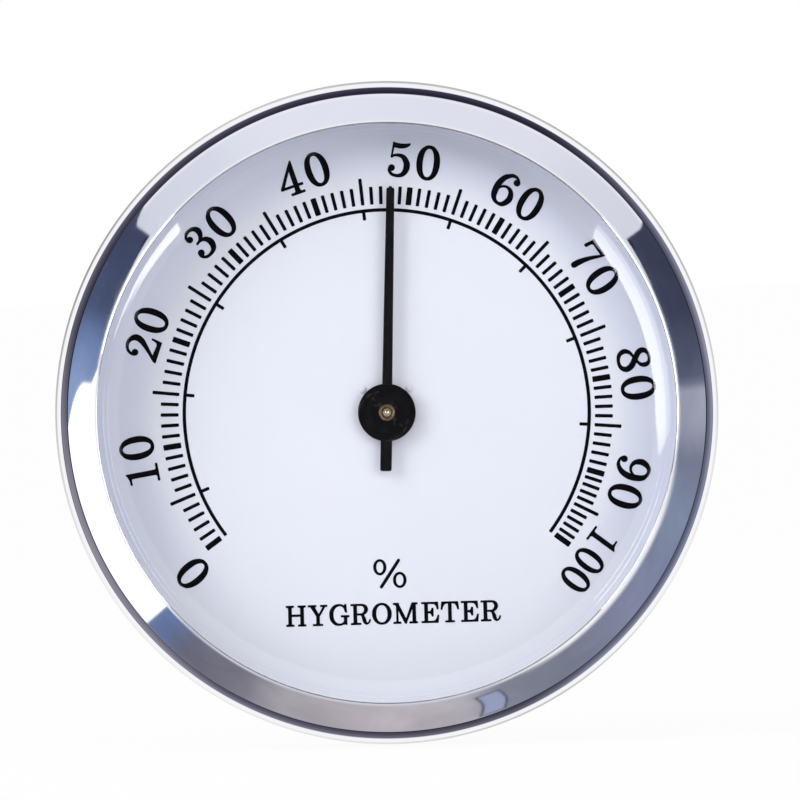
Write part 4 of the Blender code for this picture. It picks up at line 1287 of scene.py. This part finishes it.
# ------------------------------------------------------------------ camera
CAMERA_DISTANCE = 1.3    # metres
VIEW_WIDTH = 0.08456     # metres across the picture, at the target
azimuth, elevation = math.radians(-0.2), math.radians(1.0)
lean = math.radians(1.6)    # the camera's top leans to the viewer's right
target = Vector((0.0, place(0, 0, 14.0).y, 0.0))
toward = Vector((math.sin(azimuth) * math.cos(elevation),
                 -math.cos(azimuth) * math.cos(elevation), math.sin(elevation)))
level_right = (-toward).cross(Vector((0, 0, 1))).normalized()
level_up = level_right.cross(-toward)
camera_up = level_up * math.cos(lean) + level_right * math.sin(lean)
camera_right = level_right * math.cos(lean) - level_up * math.sin(lean)
camera = bpy.data.cameras.new("camera")
eye = bpy.data.objects.new("camera", camera)
scene.collection.objects.link(eye)
rotation = Matrix((camera_right, camera_up, toward)).transposed()
eye.matrix_world = Matrix.Translation(target + toward * CAMERA_DISTANCE) @ rotation.to_4x4()
camera.sensor_width = 36.0
camera.lens = camera.sensor_width * CAMERA_DISTANCE / VIEW_WIDTH
camera.shift_x = 0.0165
camera.shift_y = 0.0155
camera.clip_start, camera.clip_end = 0.01, 50.0
scene.camera = eye


# ------------------------------------------------------------------ floor
def floor_paper():
    """Pale paper that the camera sees as almost pure white."""
    mat, net = new_material("studio_floor_paper")
    coords = net.add("ShaderNodeTexCoord").outputs["Object"]
    paper = net.noise(coords, scale=900.0, roughness=0.6)
    colour = net.mix(net.remap(paper, (0.3, 0.7)), (0.90, 0.90, 0.90), (0.93, 0.93, 0.93))
    diffuse = net.add("ShaderNodeBsdfDiffuse", colour)
    glow = net.add("ShaderNodeEmission", (1.0, 1.0, 1.0), 1.0)
    seen = net.add("ShaderNodeLightPath").outputs["Is Camera Ray"]
    net.close(net.add("ShaderNodeMixShader", net.times(seen, 0.955), diffuse, glow))
    return mat


floor_mesh = bpy.data.meshes.new("studio_floor")
with editing(floor_mesh) as shape:
    bmesh.ops.create_circle(shape, cap_ends=True, segments=128, radius=6.0)
studio_floor = bpy.data.objects.new("studio_floor", floor_mesh)
studio_floor.location = (0, 0, CAD_BOX[0].z - 0.0004)
scene.collection.objects.link(studio_floor)
floor_mesh.materials.append(floor_paper())
studio_floor.visible_glossy = False
studio_floor.visible_transmission = False

# ------------------------------------------------------------------ key light, front left, above
key_data = bpy.data.lights.new("key", "AREA")
key_data.shape = "DISK"
key_data.size = 0.36
key_data.energy = 0.9
key_data.color = (0.99, 0.995, 1.0)
key = bpy.data.objects.new("key", key_data)
key.location = (-0.383, -0.235, 0.22)
key.rotation_euler = (-Vector(key.location)).to_track_quat("-Z", "Y").to_euler()
key.visible_glossy = False
key.visible_camera = False
key.visible_transmission = False
scene.collection.objects.link(key)

# ------------------------------------------------------------------ the room
# A mirror-like surface shows the room by the way it faces: for every direction of the world the
# facing that would send it to the main camera is worked out first, as a tilt away from the
# camera side and an angle phi clockwise from upright, in degrees. The bezel's sloping band faces
# 16.5 to 21 degrees outwards, its roll 30 to 44 and its rim the rest.
world = bpy.data.worlds.new("studio")
scene.world = world
world.use_nodes = True
sky = Nodes(world.node_tree, "ShaderNodeOutputWorld")


def polar(vector):
    """Tilt from the front and angle clockwise from upright, in degrees."""
    xyz = sky.add("ShaderNodeSeparateXYZ", vector).outputs
    cosine = sky.times(xyz["Y"], -0.999999)
    tilt = sky.times(sky.math("ARCCOSINE", cosine), 180 / math.pi)
    phi = sky.times(sky.math("ARCTAN2", xyz["X"], xyz["Z"]), 180 / math.pi)
    return tilt, phi


def between(value, low, high, soft=0.3):
    """1 inside low..high, 0 outside; the limits can be sockets."""
    return sky.times(sky.remap(sky.minus(value, low), (-soft, soft)),
                     sky.remap(sky.minus(value, high), (-soft, soft), to=(1.0, 0.0)))


def by_angle(phi, *stops):
    """Colour by angle, from stops (degrees, linear colour)."""
    node = sky.add("ShaderNodeValToRGB", sky.remap(phi, (-180.0, 180.0)))
    elements = node.color_ramp.elements
    while len(elements) < len(stops):
        elements.new(0.5)
    for element, (degrees, colour) in zip(elements, stops):
        element.position = (degrees + 180.0) / 360.0
        element.color = (*colour, 1.0)
    return node


def by_display(phi, *stops):
    """The same from stops (degrees, red, green, blue) or (degrees, grey), 0-255."""
    return by_angle(phi, *((degrees, srgb(*colour)) for degrees, *colour in stops))


def band_reflection(phi, across):
    """What the bezel's band shows; across runs from 0 at the lip to 1 at the crease."""
    room = by_display(
        phi, (-180, 187, 179, 186), (-166, 175, 169, 176), (-160, 172, 168, 174),
        (-153, 124, 122, 134), (-140, 109, 110, 127), (-134, 100, 118, 160), (-84, 140, 160, 202),
        (-77, 112, 132, 176), (-70, 74, 86, 116), (-54, 64, 70, 98), (54, 58, 64, 84),
        (70, 62, 66, 88), (80, 82, 88, 110), (84.2, 92, 98, 122), (84.9, 158, 160, 180),
        (92, 155, 157, 176), (99, 118, 124, 146), (110, 128, 140, 166), (130, 128, 133, 161),
        (141, 121, 126, 145), (153, 124, 128, 143), (158, 132, 134, 148), (165, 176, 172, 180),
        (180, 187, 179, 186))
    patches = sky.noise(direction, scale=5.5, roughness=0.6, distortion=0.5)
    uneven = sky.remap(patches, (0.3, 0.7), to=(0.88, 1.12))
    room = sky.vector("MULTIPLY", room, sky.grey(uneven))
    soft_box = by_display(phi, (-70, 204, 207, 221), (-40, 218, 221, 234), (-18, 230, 232, 244),
                          (25, 227, 229, 241), (60, 211, 213, 225))
    soft_box = sky.mix(sky.times(between(across, 0.93, 1.2, soft=0.03), 0.5), soft_box,
                       (0.95, 0.94, 0.99))
    # ends of the overhead soft box, with rounded corners and a tail along the lip
    tail = sky.remap(across, (0.0, 0.17), to=(1.0, 0.0))
    corner = sky.math("POWER", sky.remap(across, (0.72, 1.0)), 2.0)
    box_left = sky.plus(sky.line(tail, slope=-15.0, start=-53.2), sky.times(corner, 3.4))
    box_right = sky.plus(sky.line(tail, slope=19.0, start=54.0), sky.times(corner, -0.8))
    # dark notches just outside both ends
    notch = sky.times(between(across, 0.05, 0.24, soft=0.04),
                      sky.plus(between(phi, sky.minus(box_left, 2.2), box_left, soft=0.8),
                               between(phi, box_right, sky.plus(box_right, 2.2), soft=0.8)))
    look = sky.mix(sky.times(notch, 0.8), room, srgb(24, 24, 36))
    look = sky.mix(between(phi, box_left, box_right, soft=0.22), look, soft_box)
    # the window on the left
    side_cut = sky.math("POWER", sky.remap(across, (0.45, 1.0)), 2.0)
    side_point = sky.remap(across, (0.04, 0.2), to=(1.0, 0.0))
    side_end = sky.plus(sky.line(side_cut, slope=-8.0, start=-84.2), sky.times(side_point, 3.2))
    look = sky.mix(between(phi, -131.2, side_end, soft=0.22), look, (1.25, 1.25, 1.25))
    # a narrow wavy curtain low on the right, inside a dark hem
    wave = sky.times(sky.math("SINE", sky.line(across, slope=4.8, start=-1.3)), 0.85)
    curtain = sky.plus(phi, wave)
    in_curtain = sky.times(between(curtain, 158.3, 162.4, soft=0.12),
                           between(across, 0.27, 0.95, soft=0.03))
    hem = sky.times(between(curtain, 157.85, 162.95, soft=0.15),
                    between(across, 0.24, 0.97, soft=0.03))
    look = sky.mix(sky.times(hem, 0.9), look, srgb(48, 52, 72))
    look = sky.mix(in_curtain, look, srgb(156, 163, 194))
    # light caught along the lip
    lip_light = sky.times(between(phi, 104.0, 148.0, soft=6.0),
                          sky.remap(across, (0.02, 0.22), to=(1.0, 0.0), smooth=True))
    look = sky.mix(lip_light, look, (0.97, 0.96, 0.98))
    lip_line = by_angle(
        phi, (-180, srgb(208, 210, 222)), (-136, srgb(206, 208, 222)), (-131, (0.97, 0.97, 0.98)),
        (-62, (0.90, 0.90, 0.95)), (54, (0.92, 0.92, 0.96)), (62, srgb(226, 228, 240)),
        (96, srgb(228, 230, 242)), (106, (0.97, 0.96, 0.98)), (146, (0.95, 0.95, 0.97)),
        (158, srgb(216, 218, 230)), (180, srgb(208, 210, 222)))
    return sky.mix(sky.remap(across, (0.02, 0.085), to=(1.0, 0.0)), look, lip_line)


def roll_reflection(tilt, phi):
    """What the roll shows: dark, lighter towards its outside except on the left."""
    shade_colour = by_display(
        phi, (-180, 74, 72, 84), (-150, 84, 83, 99), (-131, 124, 122, 136), (-115, 138, 136, 149),
        (-100, 128, 126, 140), (-88, 100, 98, 111), (-75, 68, 67, 80), (-30, 54, 52, 66),
        (0, 40, 38, 52), (30, 41, 40, 54), (60, 84, 86, 104), (78, 102, 102, 117),
        (110, 88, 93, 112), (140, 92, 95, 112), (155, 70, 69, 82), (180, 74, 72, 84))
    lift = sky.remap(tilt, (31.0, 45.0), to=(1.0, 2.5), smooth=True)
    held = sky.times(between(phi, -140.0, -84.0, soft=12.0), 0.85)
    lift = sky.plus(1.0, sky.times(sky.minus(lift, 1.0), sky.minus(1.0, held)))
    return sky.vector("MULTIPLY", shade_colour, sky.grey(lift))


def room_field(tilt, phi):
    """Everything the mirror-like surfaces show, put together from the middle outwards."""
    band = band_reflection(phi, sky.remap(tilt, (16.5, 21.0)))
    roll = roll_reflection(tilt, phi)
    rim_edge = by_display(
        phi, (-180, 228), (-150, 240), (-120, 242), (-100, 214), (-65, 150), (-30, 208), (0, 188),
        (30, 184), (65, 192), (90, 222), (120, 242), (150, 192), (180, 228))
    rim = sky.mix(sky.remap(tilt, (60.0, 68.0)), (0.97, 0.97, 0.98), rim_edge)
    glare = by_display(phi, (-180, 205), (-60, 205), (-14, 150), (0, 60), (30, 60), (44, 160),
                       (70, 205), (180, 205))
    near = sky.mix(sky.remap(tilt, (2.6, 4.6)), (0.03, 0.032, 0.038), glare)
    field = sky.mix(sky.remap(tilt, (15.6, 16.4)), near, band)
    field = sky.mix(sky.remap(tilt, (21.4, 22.4)), field, srgb(34, 33, 46))
    # the crease turns through these few degrees at once; the rim shows them to an eye behind
    far_side = by_display(
        phi, (-180, 70, 70, 84), (-150, 150, 152, 168), (-128, 176, 180, 196), (-112, 60, 60, 74),
        (-62, 44, 44, 58), (-40, 148, 150, 166), (20, 176, 178, 192), (38, 56, 56, 70),
        (92, 48, 48, 62), (112, 140, 144, 162), (140, 128, 130, 146), (156, 58, 58, 72),
        (180, 70, 70, 84))
    field = sky.mix(between(tilt, 22.1, 24.4, soft=0.25), field, far_side)
    field = sky.mix(sky.remap(tilt, (28.0, 30.5)), field, roll)
    field = sky.mix(sky.remap(tilt, (43.2, 46.0)), field, rim)
    # what stands level with the dial all round: the rim shows it to an eye at the side
    level_with = by_display(
        phi, (-180, 216, 217, 222), (-140, 150, 152, 162), (-105, 66, 67, 80), (-75, 60, 61, 74),
        (-45, 150, 152, 165), (-15, 238, 239, 244), (30, 240, 241, 246), (48, 226, 228, 235),
        (58, 118, 120, 134), (90, 96, 98, 112), (116, 112, 114, 128), (126, 206, 208, 216),
        (180, 216, 217, 222))
    return sky.mix(between(tilt, 43.3, 45.3, soft=0.3), field, level_with)


def shoulder_panels(tilt, phi):
    """Bright panels for the crystal's shoulder, which faces 3 to 16 degrees outwards."""
    left_low = sky.remap(phi, (-78.0, -50.0), to=(14.0, 10.0))
    left = sky.times(between(phi, -78.0, sky.line(tilt, slope=0.25, start=-51.2)),
                     between(tilt, left_low, 16.1, soft=0.14))
    off_middle = sky.math("ABSOLUTE", sky.minus(tilt, 10.0))
    right_end = sky.minus(99.0, sky.times(off_middle, 1.5))
    right = sky.times(between(phi, sky.line(tilt, slope=-0.2, start=50.9), right_end),
                      between(tilt, 4.0, 16.1, soft=0.12))
    return sky.plus(sky.times(left, 11.0),
                    sky.times(right, sky.remap(tilt, (6.0, 12.0), to=(5.0, 4.1))))


def matt_light(tilt, phi):
    """Light on matt surfaces: a high panel in front, one on the left, one on the right, an
    even ring level with the dial, and some from behind."""

    def panel(low, high, middle, power, strength):
        """A range of tilts, fading round from the angle in its middle."""
        away = sky.times(sky.minus(phi, middle), math.pi / 180)
        lobe = sky.math("MAXIMUM", sky.math("COSINE", away), 0.0)
        return sky.times(between(tilt, low, high, soft=4.0),
                         sky.times(sky.math("POWER", lobe, power), strength))

    overhead = panel(20.0, 40.0, middle=8.0, power=3.0, strength=3.0)
    left = panel(50.0, 70.0, middle=-55.0, power=2.0, strength=3.5)
    right = panel(25.0, 60.0, middle=110.0, power=1.3, strength=4.1)
    level_ring = sky.times(between(tilt, 76.0, 90.0, soft=3.0), 0.3)
    behind = sky.times(sky.remap(tilt, (88.0, 96.0)), 0.65)
    total = sky.plus(sky.plus(sky.plus(left, right), overhead), sky.plus(level_ring, behind))
    return sky.vector("MULTIPLY", sky.grey(total), (0.99, 0.993, 1.0))


direction = sky.add("ShaderNodeTexCoord").outputs["Generated"]
halfway = sky.vector("ADD", direction, tuple(toward))
tilt, phi = polar(sky.vector("NORMALIZE", halfway))
tilt = sky.minus(tilt, 0.72)                   # the bezel stands off the camera's axis
phi = sky.minus(phi, math.degrees(lean))       # upright as the leaning camera sees it
mirrored = sky.vector("ADD", room_field(tilt, phi), sky.grey(shoulder_panels(tilt, phi)))
rays = sky.add("ShaderNodeLightPath").outputs
chosen = sky.mix(rays["Is Glossy Ray"], matt_light(*polar(direction)), mirrored)
chosen = sky.mix(rays["Is Camera Ray"], chosen, (1.0, 1.0, 1.0))
sky.close(sky.add("ShaderNodeBackground", chosen, 1.0))
world.cycles.sampling_method = "NONE"

scene.view_settings.view_transform = "Standard"
scene.view_settings.look = "None"

# ------------------------------------------------------------------ the end
bpy.context.view_layer.update()
